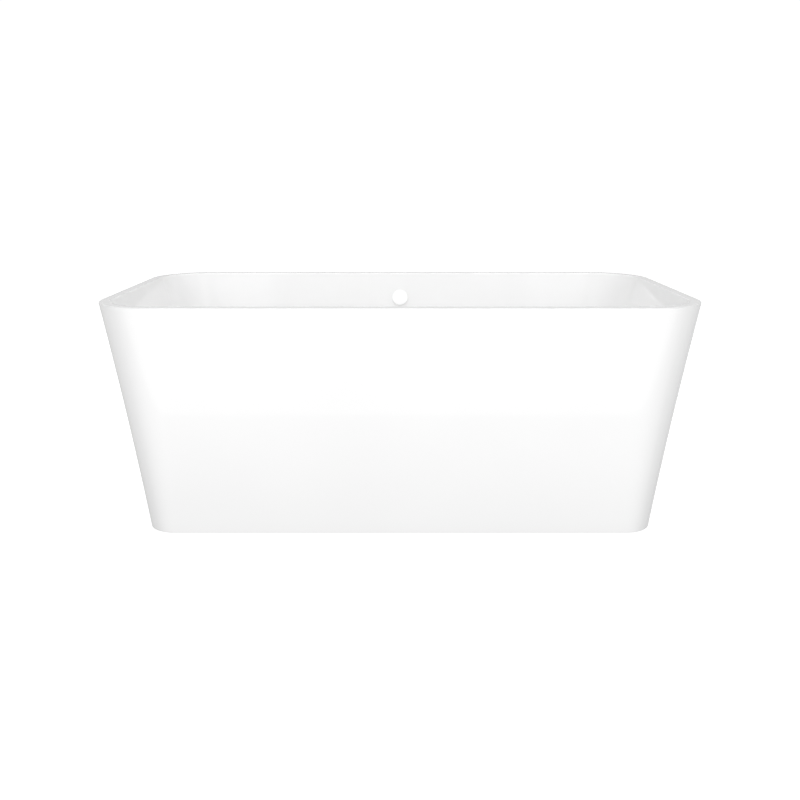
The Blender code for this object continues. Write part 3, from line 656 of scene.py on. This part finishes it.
def overflow_matrix():
    """The overflow's own frame: Z is square to the back wall, into the bath, and Y runs up the wall."""
    origin = middle_of("overflow_seal") + OVERFLOW_AXIS * SEAL_DEPTH
    across = Vector((1, 0, 0))
    turn = across, OVERFLOW_AXIS.cross(across), OVERFLOW_AXIS
    return move(*origin) @ Matrix(turn).transposed().to_4x4()


def build_overflow_cover():
    """A shallow domed disc that stands off the wall on four legs."""
    back, face = COVER_STANDOFF, COVER_STANDOFF + COVER_THICKNESS
    leg_outer, leg_inner, leg_end = INSERT_BORE - 0.0005, INSERT_BORE - 0.0022, -0.0050
    dome = [(COVER_RADIUS * share, face - 0.0005 * share**4) for share in (0, 0.2, 0.4, 0.55, 0.7, 0.82, 0.9)]
    edge = [(COVER_RADIUS - 0.0006, face - 0.0007), (COVER_RADIUS, face - 0.0014), (COVER_RADIUS, back)]
    legs = [(leg_outer, back), (leg_outer, leg_end), (leg_inner, leg_end), (leg_inner, back), (0, back)]
    cover = draft("overflow_cap", dome + edge + legs, overflow_matrix(), 0.0006)
    slot_depth = back - leg_end
    for size in ((0.040, 0.014, slot_depth), (0.014, 0.040, slot_depth)):
        place = move(0, 0, leg_end + slot_depth / 2 - GAP)
        cut(cover, mesh_from(box_shape(size)), place)
    piece(cover, "overflow_cover")


def build_overflow_insert():
    """The ring that clamps the overflow's seal from inside the bath."""
    collar = [(INSERT_BORE, INSERT_FRONT), (INSERT_RADIUS, INSERT_FRONT), (INSERT_RADIUS, GAP)]
    sleeve = [(INSERT_TUBE, GAP), (INSERT_TUBE, INSERT_END), (INSERT_BORE, INSERT_END)]
    turned("overflow_ring", "overflow_insert", collar + sleeve, overflow_matrix())
    washer = ring_profile(OVERFLOW_HOLE, 0.027, BODY_FRONT + GAP, -BASIN_THICKNESS - GAP)
    turned("overflow_gasket", "overflow_seal", washer, overflow_matrix())


def build_overflow_body():
    """A shallow rounded chamber behind the wall, with a socket and a spigot down for the hose."""
    size = (BODY_WIDTH, BODY_TOP - BODY_BOTTOM, BODY_DEPTH)
    inside = [side - 2 * BODY_WALL for side in size]
    place = move(0, (BODY_TOP + BODY_BOTTOM) / 2, BODY_FRONT - BODY_DEPTH / 2)
    body = add_object("overflow_chamber", rounded_box(size, BODY_ROUND), overflow_matrix())
    body.data.transform(place)
    for radius, end in ((SOCKET_RADIUS, SOCKET_END), (SPIGOT_RADIUS, SPIGOT_END)):
        middle = move(0, (SOCKET_TOP + end) / 2, SPIGOT_DEPTH)
        fuse(body, disc(radius, SOCKET_TOP - end, 48), middle @ ALONG_Y)
    hollow = rounded_box(inside, BODY_ROUND - BODY_WALL)
    mouth, bore = disc(INSERT_TUBE + GAP, 0.010), disc(SPIGOT_BORE, 0.050, 48)
    cut(body, hollow, place)
    cut(body, mouth, move(0, 0, BODY_FRONT))
    cut(body, bore, move(0, -0.047, SPIGOT_DEPTH + 0.0015) @ ALONG_Y)
    piece(body, "overflow_body")


def hose_route():
    """The hose's middle line: down between the shells, under the back rail and into the waste body."""
    frame_of_wall = overflow_matrix()
    start = [frame_of_wall @ Vector((0, HOSE_START - drop, SPIGOT_DEPTH)) for drop in (0, 0.020, 0.045)]
    behind_wall = [(0.337, 0.340), (0.319, 0.245), (0.298, 0.172)]
    under_floor = [(0.256, 0.121), (0.195, 0.1025), (0.130, INLET_Z)]
    into_waste = [(y, INLET_Z) for y in (0.090, 0.066, HOSE_END)]
    return [*start, *(Vector((0, y, z)) for y, z in behind_wall + under_floor + into_waste)]


def build_hose():
    """A corrugated hose with a smooth cuff at each end."""
    route = smooth_route(hose_route(), HOSE_PITCH / 6)
    runs = [0.0]
    for a, b in zip(route, route[1:]):
        runs.append(runs[-1] + (b - a).length)
    outside, inside = [], []
    for place, along, run in zip(route, directions(route), runs):
        from_end = min(run, runs[-1] - run)
        waved = min(1.0, max(0.0, (from_end - HOSE_CUFF) / HOSE_PITCH))
        dip = waved * HOSE_WAVE * (0.5 - 0.5 * cos(2 * pi * run / HOSE_PITCH)) ** 0.7
        outside.append(ring_round(place, along, Vector((1, 0, 0)), HOSE_RADIUS - dip, 40))
        inside.append(ring_round(place, along, Vector((1, 0, 0)), HOSE_BORE - 0.5 * dip * waved, 40))
    piece(add_object("overflow_pipe", swept(outside + inside[::-1])), "overflow_hose", sharp=60)


def build_hose_clips():
    """Worm-drive clips: a band, a housing across it and the hexagon-headed screw in the housing."""
    band_profile = ring_profile(HOSE_RADIUS + GAP, CLIP_RADIUS, -CLIP_WIDTH / 2, CLIP_WIDTH / 2)
    band = turned_mesh(rounded(band_profile, 0.0003), 64)
    head_radius, head_length, across = 0.0030, 0.0035, CLIP_RADIUS + 0.0022
    head = rounded(ring_profile(0, head_radius, 0, head_length), 0.0004)
    head_mesh = turned_mesh(head, 32, hexagon(head_radius))
    housing = rounded_box((0.0052, 0.0095, CLIP_WIDTH + 0.001), 0.0012)
    lengthwise = move(across + 0.0002, 0, 0) @ ALONG_Y
    screw = moved(disc(0.0021, 0.012, 32), lengthwise)
    screw_head = moved(head_mesh, lengthwise @ move(0, 0, 0.0055))
    worm = joined(band, moved(housing, move(across, 0, 0)), screw, screw_head)
    for turn, node in ((overflow_matrix(), "hose_clip_top"), (Matrix.Identity(4), "hose_clip_bottom")):
        place = move(*middle_of(node)) @ turn.to_3x3().to_4x4() @ ALONG_Y
        piece(add_object(f"{node}_worm", worm.copy(), place), node)


# --- Waste, plug and trap ---


def build_waste():
    """The flange with its hub on four spokes, and the two flat seals of the waste."""
    brim_bottom = BRIM_TOP - 0.0025
    dish = [(TAIL_BORE, BRIM_TOP - 0.006), (0.0270, BRIM_TOP - 0.0008), (BRIM_RADIUS - 0.002, BRIM_TOP)]
    brim = [(BRIM_RADIUS, BRIM_TOP - 0.001), (BRIM_RADIUS, brim_bottom)]
    tail = [(TAIL_RADIUS, brim_bottom), (TAIL_RADIUS, TAIL_BOTTOM), (TAIL_BORE, TAIL_BOTTOM)]
    flange = draft("waste_rim", dish + brim + tail, None, 0.0009)
    hub = rounded(ring_profile(HUB_BORE, HUB_RADIUS, HUB_BOTTOM, HUB_TOP), 0.0008)
    fuse(flange, turned_mesh(hub, 64))
    spoke_start, spoke_end = 0.0095, TAIL_BORE + 0.001
    spoke = rounded_box((spoke_end - spoke_start, 0.003, 0.005), 0.0009, 3)
    middle = move((spoke_start + spoke_end) / 2, 0, (HUB_BOTTOM + HUB_TOP) / 2)
    for quarter in range(4):
        turn = Matrix.Rotation(pi / 2 * quarter + pi / 4, 4, "Z")
        fuse(flange, spoke, turn @ middle)
    piece(flange, "waste_flange")
    for node in ("waste_top_seal", "waste_bottom_seal"):
        build_washer(node, WASTE_HOLE, SEAL_RADIUS)


def build_waste_body():
    """The socket under the basin, with ribs to grip it by and the overflow's inlet at its side."""
    top, wall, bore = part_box("waste_body")[1].z, 0.0270, 0.0188
    socket = TAIL_RADIUS + GAP + 0.0001
    step = TAIL_BOTTOM - 0.002
    collar = [(socket, top), (SEAL_RADIUS, top), (SEAL_RADIUS, top - 0.004)]
    outside = [(wall, top - 0.005), (wall, step - 0.004), (OUTLET_RADIUS, step - 0.009)]
    outlet = [(OUTLET_RADIUS, OUTLET_BOTTOM), (bore, OUTLET_BOTTOM), (bore, step), (socket, step)]
    ribbed = ribs(24, 0.0009, wall - 0.0004, top - 0.006, step - 0.003)
    body = draft("waste_socket", collar + outside + outlet, None, 0.0008, 192, ribbed)
    start, shoulder, arm_radius = 0.0200, 0.042, 0.0125
    arm = rounded(ring_profile(0, arm_radius, 0, 0.022), 0.0012)
    spigot = disc(SPIGOT_RADIUS, INLET_LENGTH - start, 64)
    spigot_bore = disc(SPIGOT_RADIUS - 0.002, 0.060, 64)
    fuse(body, turned_mesh(arm, 64), move(0, shoulder, INLET_Z) @ ALONG_Y)
    fuse(body, spigot, move(0, (start + INLET_LENGTH) / 2, INLET_Z) @ ALONG_Y)
    cut(body, spigot_bore, move(0, 0.040, INLET_Z) @ ALONG_Y)
    piece(body, "waste_body")


def build_plug():
    """The plug's domed cap, its seal and stem, and the click-clack cartridge in the hub."""
    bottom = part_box("plug_cap")[0].z
    place = move(0, 0, bottom)
    shares = (0, 0.15, 0.3, 0.45, 0.6, 0.72, 0.82, 0.91)
    dome = [(CAP_RADIUS * share, 0.0075 - 0.0048 * share**3) for share in shares]
    cap = [*dome, (CAP_RADIUS, 0.0020), (CAP_RADIUS, 0.0008), (CAP_RADIUS - 0.001, 0), (0, 0)]
    turned("plug_dome", "plug_cap", cap, place, 0.0012)
    top, lip, inner, outer = -GAP, -GAP - 0.0018, 0.022, 0.030
    washer = [(inner, top), (outer, top), (outer, top - 0.0010), (outer - 0.0015, lip), (inner, lip)]
    turned("plug_ring", "plug_seal", washer, place, 0.0004)
    neck, stem_end = 0.006, -0.040
    head = [(0, top), (neck, top), (neck, top - 0.004)]
    pin = [(STEM_RADIUS, top - 0.005), (STEM_RADIUS, stem_end), (0, stem_end)]
    turned("plug_pin", "plug_stem", head + pin, place, 0.0006, 48)
    shoulder, barrel, bore = 0.0095, HUB_BORE - GAP, STEM_RADIUS + GAP
    latch_top, seat, latch_end = HUB_TOP + 0.003, HUB_TOP + GAP, 0.134
    latch = [(bore, latch_top), (shoulder, latch_top), (shoulder, seat)]
    latch += [(barrel, seat), (barrel, latch_end), (bore, latch_end)]
    key = ribs(6, 0.0008, 0.0090, HUB_TOP + 0.004, HUB_TOP)
    turned("plug_latch", "plug_cartridge", latch, None, 0.0005, 96, key)


def arc(centre_x, centre_z, radius, start, end, steps):
    """Points of an arc in the XZ plane, with its angles in degrees from +X towards +Z."""
    turns = [radians(start + (end - start) * step / steps) for step in range(steps + 1)]
    centre = Vector((centre_x, 0, centre_z))
    return [centre + radius * Vector((cos(turn), 0, sin(turn))) for turn in turns]


def mould_seam(angle):
    """A fine raised line down both sides of a moulded pipe."""
    from_seam = abs(remainder(angle - pi / 2, pi))
    return 0.0004 * max(0.0, 1 - from_seam / 0.10)


def build_trap():
    """The trap's swept bend, from the collar under the waste body to the threaded end over the drain."""
    below_collar = COLLAR_TOP - COLLAR_HEIGHT
    low = arc(LOW_BEND, LOW_BEND_Z, LOW_BEND, 180, 360, 36)
    high = arc(2 * LOW_BEND + HIGH_BEND, HIGH_BEND_Z, HIGH_BEND, 180, 0, 36)
    head = [Vector((0, 0, z)) for z in (COLLAR_TOP, COLLAR_TOP - 0.0005, below_collar, below_collar - 0.0003)]
    tail = [Vector((OUTLET_X, 0, z)) for z in (HIGH_BEND_Z - 0.0005, HIGH_BEND_Z - 0.0009, TRAP_END_Z)]
    route = [*head, *low, *high, *tail]
    radii = [COLLAR_RADIUS - 0.0004, COLLAR_RADIUS, COLLAR_RADIUS, PIPE_RADIUS]
    radii += [PIPE_RADIUS] * (len(low) + len(high)) + [PIPE_RADIUS, OUTLET_RADIUS, OUTLET_RADIUS]
    side = Vector((0, 1, 0))
    outside, inside = [], []
    for place, along, radius in zip(route, directions(route), radii):
        seam = mould_seam if radius == PIPE_RADIUS else None
        outside.append(ring_round(place, along, side, radius, 96, seam))
        inside.append(ring_round(place, along, side, PIPE_RADIUS - PIPE_WALL, 96))
    piece(add_object("trap_bend", swept(outside + inside[::-1])), "trap_body", sharp=40)
    build_union_nut("trap_inlet_nut", 0.0290, COLLAR_TOP)
    build_union_nut("trap_outlet_nut", 0.0275, TRAP_END_Z - 0.0026)
    for node in ("trap_inlet_washer", "trap_outlet_washer"):
        build_washer(node, 0.0178, 0.0218)
    build_outlet_pipe()


def build_union_nut(node, radius, collar_top):
    """A hand-tightened nut with ribs round it and a lip that holds a collar up."""
    low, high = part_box(node)
    thread, hole, face = OUTLET_RADIUS + 0.0004, PIPE_RADIUS + 0.0004, radius - 0.0015
    lip_top = collar_top - COLLAR_HEIGHT - GAP
    outside = [(thread, high.z), (face, high.z), (radius, high.z - 0.002), (radius, low.z + 0.002)]
    inside = [(face, low.z), (hole, low.z), (hole, lip_top), (thread, lip_top)]
    grip = ribs(20, 0.0012, radius - 0.0002, high.z - 0.0022, low.z + 0.0018)
    turned(f"{node}_grip", node, outside + inside, axis_of(node), 0.0006, 240, grip)


def build_outlet_pipe():
    low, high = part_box("outlet_pipe")
    bore, collar_bottom = PIPE_RADIUS - PIPE_WALL, high.z - COLLAR_HEIGHT
    collar = [(bore, high.z), (COLLAR_RADIUS, high.z), (COLLAR_RADIUS, collar_bottom)]
    wall = [(PIPE_RADIUS, collar_bottom), (PIPE_RADIUS, low.z + 0.003)]
    end = [(PIPE_RADIUS - 0.0008, low.z), (bore, low.z)]
    turned("drain_pipe", "outlet_pipe", collar + wall + end, axis_of("outlet_pipe"))


# --- Board, frame and feet ---


def circle(x, y, radius, steps):
    return [(x + radius * cos(angle), y + radius * sin(angle)) for angle in full_turn(steps)]


SCREW_PLACES = [middle_of(f"board_screw_{number}") for number in range(1, 5)]
FOOT_PLACES = [middle_of(f"foot_{number}_nut") for number in range(1, 6)]


def build_board():
    """The board under the basin, with eased edges and holes for the waste and the screws."""
    low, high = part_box("base_board")
    half = (high - low) / 2
    eased = 0.0012
    curve = bpy.data.curves.new("board", "CURVE")
    curve.dimensions = "2D"
    curve.fill_mode = "BOTH"
    curve.extrude = half.z - eased
    curve.bevel_depth = eased
    curve.bevel_resolution = 2
    curve.offset = -eased
    outlines = [rounded_rectangle(half.x, half.y, BOARD_RADIUS, 16, ()), circle(0, 0, BOARD_HOLE, 64)]
    outlines += [circle(place.x, place.y, BOARD_SCREW_HOLE, 24) for place in SCREW_PLACES]
    for outline in outlines:
        spline = curve.splines.new("POLY")
        spline.points.add(len(outline) - 1)
        for point, (x, y) in zip(spline.points, outline):
            point.co = (x, y, 0, 1)
        spline.use_cyclic_u = True
    flat = add_object("board outline", curve)
    plate = add_object("board_plate", evaluated_mesh(flat))
    bpy.data.objects.remove(flat, do_unlink=True)
    plate.location = (low + high) / 2
    piece(plate, "base_board")


def build_tube(node, holes):
    """A square steel tube with rounded edges and those of the upright (place, radius) holes that it has."""
    low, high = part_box(node)
    middle, size = (low + high) / 2, high - low
    along_x = size.x > size.y
    length = size.x if along_x else size.y
    rows = []
    for half, corner in ((TUBE / 2, TUBE_ROUND), (TUBE / 2 - TUBE_WALL, TUBE_ROUND - TUBE_WALL)):
        outline = rounded_rectangle(half, half, corner, 6, ())
        ends = [[(end * length / 2, y, z) for y, z in outline] for end in (-1, 1)]
        rows += ends if not rows else ends[::-1]
    turn = Matrix.Rotation(0 if along_x else pi / 2, 4, "Z")
    tube = add_object(f"{node}_tube", swept(rows), move(*middle) @ turn)
    for hole, radius in holes:
        if low.x < hole.x < high.x and low.y < hole.y < high.y:
            place = tube.matrix_world.inverted() @ move(hole.x, hole.y, middle.z)
            cut(tube, disc(radius, 2 * TUBE, 48), place)
    piece(tube, node, sharp=40)


def build_frame():
    holes = [(place, STUD_HOLE) for place in FOOT_PLACES]
    holes += [(place, SCREW_HOLE) for place in SCREW_PLACES]
    for node in ("rail_front", "rail_back", *CROSS_BARS):
        build_tube(node, holes)
    build_welds()


def weld(start, end, steps=36):
    """A bead of weld metal: a rippled run that swells from each end."""
    along = (end - start).normalized()
    side = along.orthogonal().normalized()
    length = (end - start).length
    rows = []
    for step in range(steps + 1):
        run = length * step / steps
        swell = min(1.0, sin(pi * (0.04 + 0.92 * step / steps)) * 3)
        ripple = 0.00018 * cos(2 * pi * run / WELD_RIPPLE)
        rows.append(ring_round(start + along * run, along, side, WELD_RADIUS * swell + ripple, 12))
    return swept(rows, closed_ends=True)


def build_welds():
    """Welds down both sides and under each end of the cross bars, and two on each foot's nut."""
    beads = []
    for node in CROSS_BARS:
        low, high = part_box(node)
        for y in (low.y + WELD_RADIUS / 3, high.y - WELD_RADIUS / 3):
            for x in (low.x, high.x):
                beads.append(weld(Vector((x, y, low.z + 0.002)), Vector((x, y, high.z - 0.003))))
            beads.append(weld(Vector((low.x + 0.002, y, low.z)), Vector((high.x - 0.002, y, low.z))))
    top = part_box("rail_front")[0].z
    for place in FOOT_PLACES:
        for side in (-1, 1):
            y = place.y + side * (NUT_RADIUS * cos(pi / 6))
            beads.append(weld(Vector((place.x - 0.004, y, top)), Vector((place.x + 0.004, y, top)), 18))
    piece(add_object("frame_welds", joined(*beads)), "rail_front", sharp=80, replaces=False)


def build_board_screws():
    """Pan-head screws with a cross recess, up through the rails into the board."""
    head, shank, seat = 0.0048, 0.0022, 0.0028
    slots = ((0.0044, 0.0009, 0.003), (0.0009, 0.0044, 0.003))
    for number in range(1, 5):
        node = f"board_screw_{number}"
        low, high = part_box(node)
        reach = high.z - low.z
        pin = [(0, reach), (shank, reach - 0.004), (shank, seat), (head, seat)]
        pan = [(head, 0.0016), (0.82 * head, 0.0004), (0.5 * head, 0), (0, 0)]
        screw = draft(f"{node}_pan", pin + pan, axis_of(node) @ move(0, 0, low.z), 0.0004, 48)
        for slot in slots:
            cut(screw, rounded_box(slot, 0.0002, 2))
        piece(screw, node)


def bent_line(corners, bend, steps=6):
    """A line of points through the corners, with each bend rounded."""
    line = [corners[0]]
    for before, here, after in zip(corners, corners[1:], corners[2:]):
        start = here + (before - here).normalized() * min(bend, 0.4 * (before - here).length)
        end = here + (after - here).normalized() * min(bend, 0.4 * (after - here).length)
        line += corner_arc(start, here, end, steps)
    return [*line, corners[-1]]


def bolt_head():
    """A hexagonal bolt head over a round washer, with its top at +Z."""
    seat, top = 0.0009, 0.0009 + BOLT_HEIGHT
    washer = turned_mesh(rounded(ring_profile(0.0020, 0.0062, 0, seat), 0.0002), 48)
    head = [(0, top), (0.8 * BOLT_RADIUS, top), (BOLT_RADIUS, top - 0.0006), (BOLT_RADIUS, seat), (0, seat)]
    return joined(washer, turned_mesh(head, 96, hexagon(BOLT_RADIUS)))


def build_skirt_ties():
    """Bent straps from under the rails down to the skirt's bottom flange, with a bolt at each end."""
    bolt = bolt_head()
    for number in range(1, 5):
        node = f"skirt_tie_{number}"
        low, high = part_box(node)
        side = copysign(1, low.y)
        inner, outer = sorted((abs(low.y), abs(high.y)))
        half = TIE_THICKNESS / 2
        top, bottom = high.z - half, low.z + half
        corners = [(inner, top), (inner + 0.028, top), (outer - 0.025, bottom), (outer, bottom)]
        line = bent_line([Vector((y, z)) for y, z in corners], TIE_BEND)
        section = rounded_rectangle(TIE_WIDTH / 2, half, 0.0008, 3, ())
        rows = []
        for here, along in zip(line, directions(line)):
            rows.append([(x, here.x - along.y * rise, here.y + along.x * rise) for x, rise in section])
        upper = moved(bolt, move(0, inner + 0.010, top - half) @ Matrix.Rotation(pi, 4, "X"))
        lower = moved(bolt, move(0, outer - 0.012, bottom + half))
        strap = add_object(f"{node}_strap", joined(swept(rows, closed_ends=True), upper, lower))
        strap.data.transform(move((low.x + high.x) / 2, 0, 0) @ Matrix.Diagonal((1, side, 1, 1)))
        if side < 0:
            strap.data.flip_normals()
        piece(strap, node)


def threaded_rod(radius, low, high, steps=36):
    """A rod with a helical thread. Each column of points climbs a pitch on its way round."""
    levels = 4 * (ceil((high - low) / THREAD_PITCH) + 3)
    depths = (0, 0, THREAD_DEPTH, THREAD_DEPTH)
    rises = (0.0, 0.125, 0.5, 0.625)
    shape = bmesh.new()
    columns = []
    for column, angle in enumerate(full_turn(steps)):
        start = low - 2 * THREAD_PITCH + THREAD_PITCH * column / steps
        points = []
        for level in range(levels):
            reach = radius - depths[level % 4]
            z = start + THREAD_PITCH * (level // 4 + rises[level % 4])
            points.append(shape.verts.new((reach * cos(angle), reach * sin(angle), z)))
        columns.append(points)
    for column, points in enumerate(columns):
        shift = 4 if column == steps - 1 else 0
        following = columns[(column + 1) % steps]
        for level in range(levels - 1 - shift):
            a, b = level + shift, level + 1 + shift
            shape.faces.new((points[level], following[a], following[b], points[level + 1]))
    for height, normal in ((low, (0, 0, -1)), (high, (0, 0, 1))):
        everything = shape.verts[:] + shape.edges[:] + shape.faces[:]
        place = (0, 0, height)
        bmesh.ops.bisect_plane(shape, geom=everything, plane_co=place, plane_no=normal, clear_outer=True)
    bmesh.ops.holes_fill(shape, edges=[edge for edge in shape.edges if edge.is_boundary], sides=0)
    bmesh.ops.recalc_face_normals(shape, faces=shape.faces)
    return mesh_from(shape)


def nut_mesh(thickness):
    """A hexagon nut, chamfered top and bottom, whose middle is at the origin."""
    half, flat, bore, mouth = thickness / 2, 0.88 * NUT_RADIUS, STUD_CLEARANCE, STUD_CLEARANCE + 0.0005
    outer, inner = half - 0.0009, half - 0.0006
    outside = [(mouth, half), (flat, half), (NUT_RADIUS, outer), (NUT_RADIUS, -outer), (flat, -half)]
    inside = [(mouth, -half), (bore, -inner), (bore, inner)]
    return turned_mesh(outside + inside, 120, hexagon(NUT_RADIUS))


def pad_profile():
    """A nylon pad with a ring of relief on its top and a shallow recess under it."""
    low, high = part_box("foot_1_pad")
    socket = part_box("foot_1_stud")[0].z - GAP
    collar = [(0, socket), (STUD_CLEARANCE, socket), (STUD_CLEARANCE, high.z), (0.0115, high.z)]
    shoulder = [(0.0125, 0.0104), (0.0160, 0.0092)]
    groove = [(0.0166, 0.0084), (0.0176, 0.0082), (0.0182, 0.0084)]
    foot = [(0.0222, 0.0066), (PAD_RADIUS, 0.0042), (PAD_RADIUS, low.z)]
    recess = [(0.0200, low.z), (0.0190, 0.0012), (0, 0.0012)]
    return collar + shoulder + groove + foot + recess


def build_feet():
    stud_low, stud_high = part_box("foot_1_stud")
    stud = threaded_rod(STUD_RADIUS, stud_low.z, stud_high.z)
    pad = turned_mesh(rounded(pad_profile(), 0.0008))
    for number in range(1, 6):
        for part in ("nut", "locknut"):
            node = f"foot_{number}_{part}"
            low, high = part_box(node)
            place = move(*middle_of(node))
            piece(add_object(f"foot_{number}_hex_{part}", nut_mesh(high.z - low.z), place), node)
        for part, mesh in (("stud", stud), ("pad", pad)):
            obj = add_object(f"foot_{number}_turned_{part}", mesh.copy(), axis_of(f"foot_{number}_nut"))
            piece(obj, f"foot_{number}_{part}", sharp=40)


def paint_cad_nodes():
    """Gives every CAD node the finished material of its slot."""
    for node, slot in SLOTS.items():
        materials = frame["nodes"][node].data.materials
        materials.clear()
        materials.append(MATERIALS[slot])


# --- Studio ---

CAMERA_PLACE = Vector((0, -2.502, 0.9037))
CAMERA_PITCH, LENS = 0.2466, 40.63

BACKDROP_GLOW = 1.05
FRONT_GLOW, BACK_GLOW, SIDE_GLOW, LOW_GLOW = 1.40, 0.755, 0.32, 0.31
SIDE_LEAN = 0.3
FLOOR_GLOW = 0.6
OVERHEAD_GLOW = 2.70
SHEET_EDGE, SHEET_SIZE, SHEET_GLOW = -0.935, (4.4, 2.27), 0.44
PANEL_PLACE, PANEL_SIZE = Vector((2.29, -2.57, 1.9)), (2.92, 1.8)
PANEL_TURN, PANEL_GLOW = radians(23), 0.62


def build_camera():
    data = bpy.data.cameras.new("camera")
    data.lens = LENS
    data.sensor_width = 36
    camera = add_object("camera", data)
    camera.location = CAMERA_PLACE
    camera.rotation_euler = (pi / 2 - CAMERA_PITCH, 0, 0)
    bpy.context.scene.camera = camera


def soft_box(name, place, size, target, glow):
    """A panel of even glow that faces a point."""
    data = bpy.data.lights.new(name, "AREA")
    data.shape = "RECTANGLE"
    data.size, data.size_y = size
    data.energy = glow * pi * size[0] * size[1]
    light = add_object(name, data)
    light.location = place
    light.rotation_euler = (Vector(target) - Vector(place)).to_track_quat("-Z", "Y").to_euler()
    light.visible_camera = False


def dome_glow(tree):
    """The dome's brightness: each side adds its glow, in full where one looks straight at that side.

    The left and right glows lean upwards.
    """
    sides = (
        ((0, -1, 0), FRONT_GLOW),
        ((0, 1, 0), BACK_GLOW),
        ((1, 0, SIDE_LEAN), SIDE_GLOW),
        ((-1, 0, SIDE_LEAN), SIDE_GLOW),
        ((0, 0, -1), LOW_GLOW),
    )
    coordinates = add_node(tree, "TexCoord").outputs["Generated"]
    total = 0.0
    for direction, glow in sides:
        towards = add_node(tree, "VectorMath", Vector=coordinates)
        towards.operation = "DOT_PRODUCT"
        towards.inputs[1].default_value = direction
        share = add_node(tree, "MapRange", Value=towards.outputs["Value"], To_Max=glow)
        add = add_node(tree, "Math", Value=total)
        tree.links.new(share.outputs["Result"], add.inputs[1])
        total = add.outputs["Value"]
    return total


def build_world():
    """A soft dome, brighter in front of the bath than behind it; the camera sees plain white."""
    world = bpy.data.worlds.new("studio")
    bpy.context.scene.world = world
    world.use_nodes = True
    tree = world.node_tree
    backdrop = tree.nodes["Background"]
    set_sockets(tree, backdrop, Color=(1, 1, 1, 1), Strength=BACKDROP_GLOW)
    dome = add_node(tree, "Background", Strength=dome_glow(tree))
    seen = add_node(tree, "LightPath").outputs["Is Camera Ray"]
    mix = add_node(tree, "MixShader", Fac=seen, Shader=dome.outputs["Background"])
    tree.links.new(backdrop.outputs["Background"], mix.inputs[2])
    set_sockets(tree, tree.nodes["World Output"], Surface=mix.outputs["Shader"])


def build_floor():
    """A pale floor that blows out to white. Only the camera sees it, so it doesn't light the bath."""
    shape = bmesh.new()
    bmesh.ops.create_grid(shape, x_segments=8, y_segments=8, size=12)
    floor = add_object("floor", mesh_from(shape))
    material, tree = new_material("studio floor", Emission_Color=(1, 1, 1, 1), Emission_Strength=FLOOR_GLOW)
    tone = texture(tree, "Noise", 2.0)
    finish(tree, (tone, [(0.4, 0.84), (0.6, 0.85)]), (tone, 0.75, 0.85))
    floor.data.materials.append(material)
    floor.visible_diffuse = floor.visible_glossy = floor.visible_shadow = False


def build_lights():
    """A box overhead, a bright sheet on the floor in front, and two wide panels behind the camera.

    The panels' inner edges show in the far wall, and the sheet's near edge low on the front of the skirt.
    """
    bpy.context.scene.view_settings.view_transform = "Standard"
    soft_box("overhead", (0, 0.1, 2.4), (2.2, 1.0), (0, 0.1, 0), OVERHEAD_GLOW)
    sheet_middle = Vector((0, SHEET_EDGE - SHEET_SIZE[1] / 2, 0.002))
    soft_box("floor sheet", sheet_middle, SHEET_SIZE, sheet_middle + Vector((0, 0, 1)), SHEET_GLOW)
    for side in (-1, 1):
        centre = PANEL_PLACE * Vector((side, 1, 1))
        facing = centre + Vector((-side * sin(PANEL_TURN), cos(PANEL_TURN), 0))
        soft_box(f"panel {side}", centre, PANEL_SIZE, facing, PANEL_GLOW)


def main():
    build_camera()
    paint_cad_nodes()
    build_basin()
    build_skirt()
    build_overflow_cover()
    build_overflow_insert()
    build_overflow_body()
    build_hose()
    build_hose_clips()
    build_waste()
    build_waste_body()
    build_plug()
    build_trap()
    build_board()
    build_frame()
    build_board_screws()
    build_skirt_ties()
    build_feet()
    build_world()
    build_floor()
    build_lights()


main()
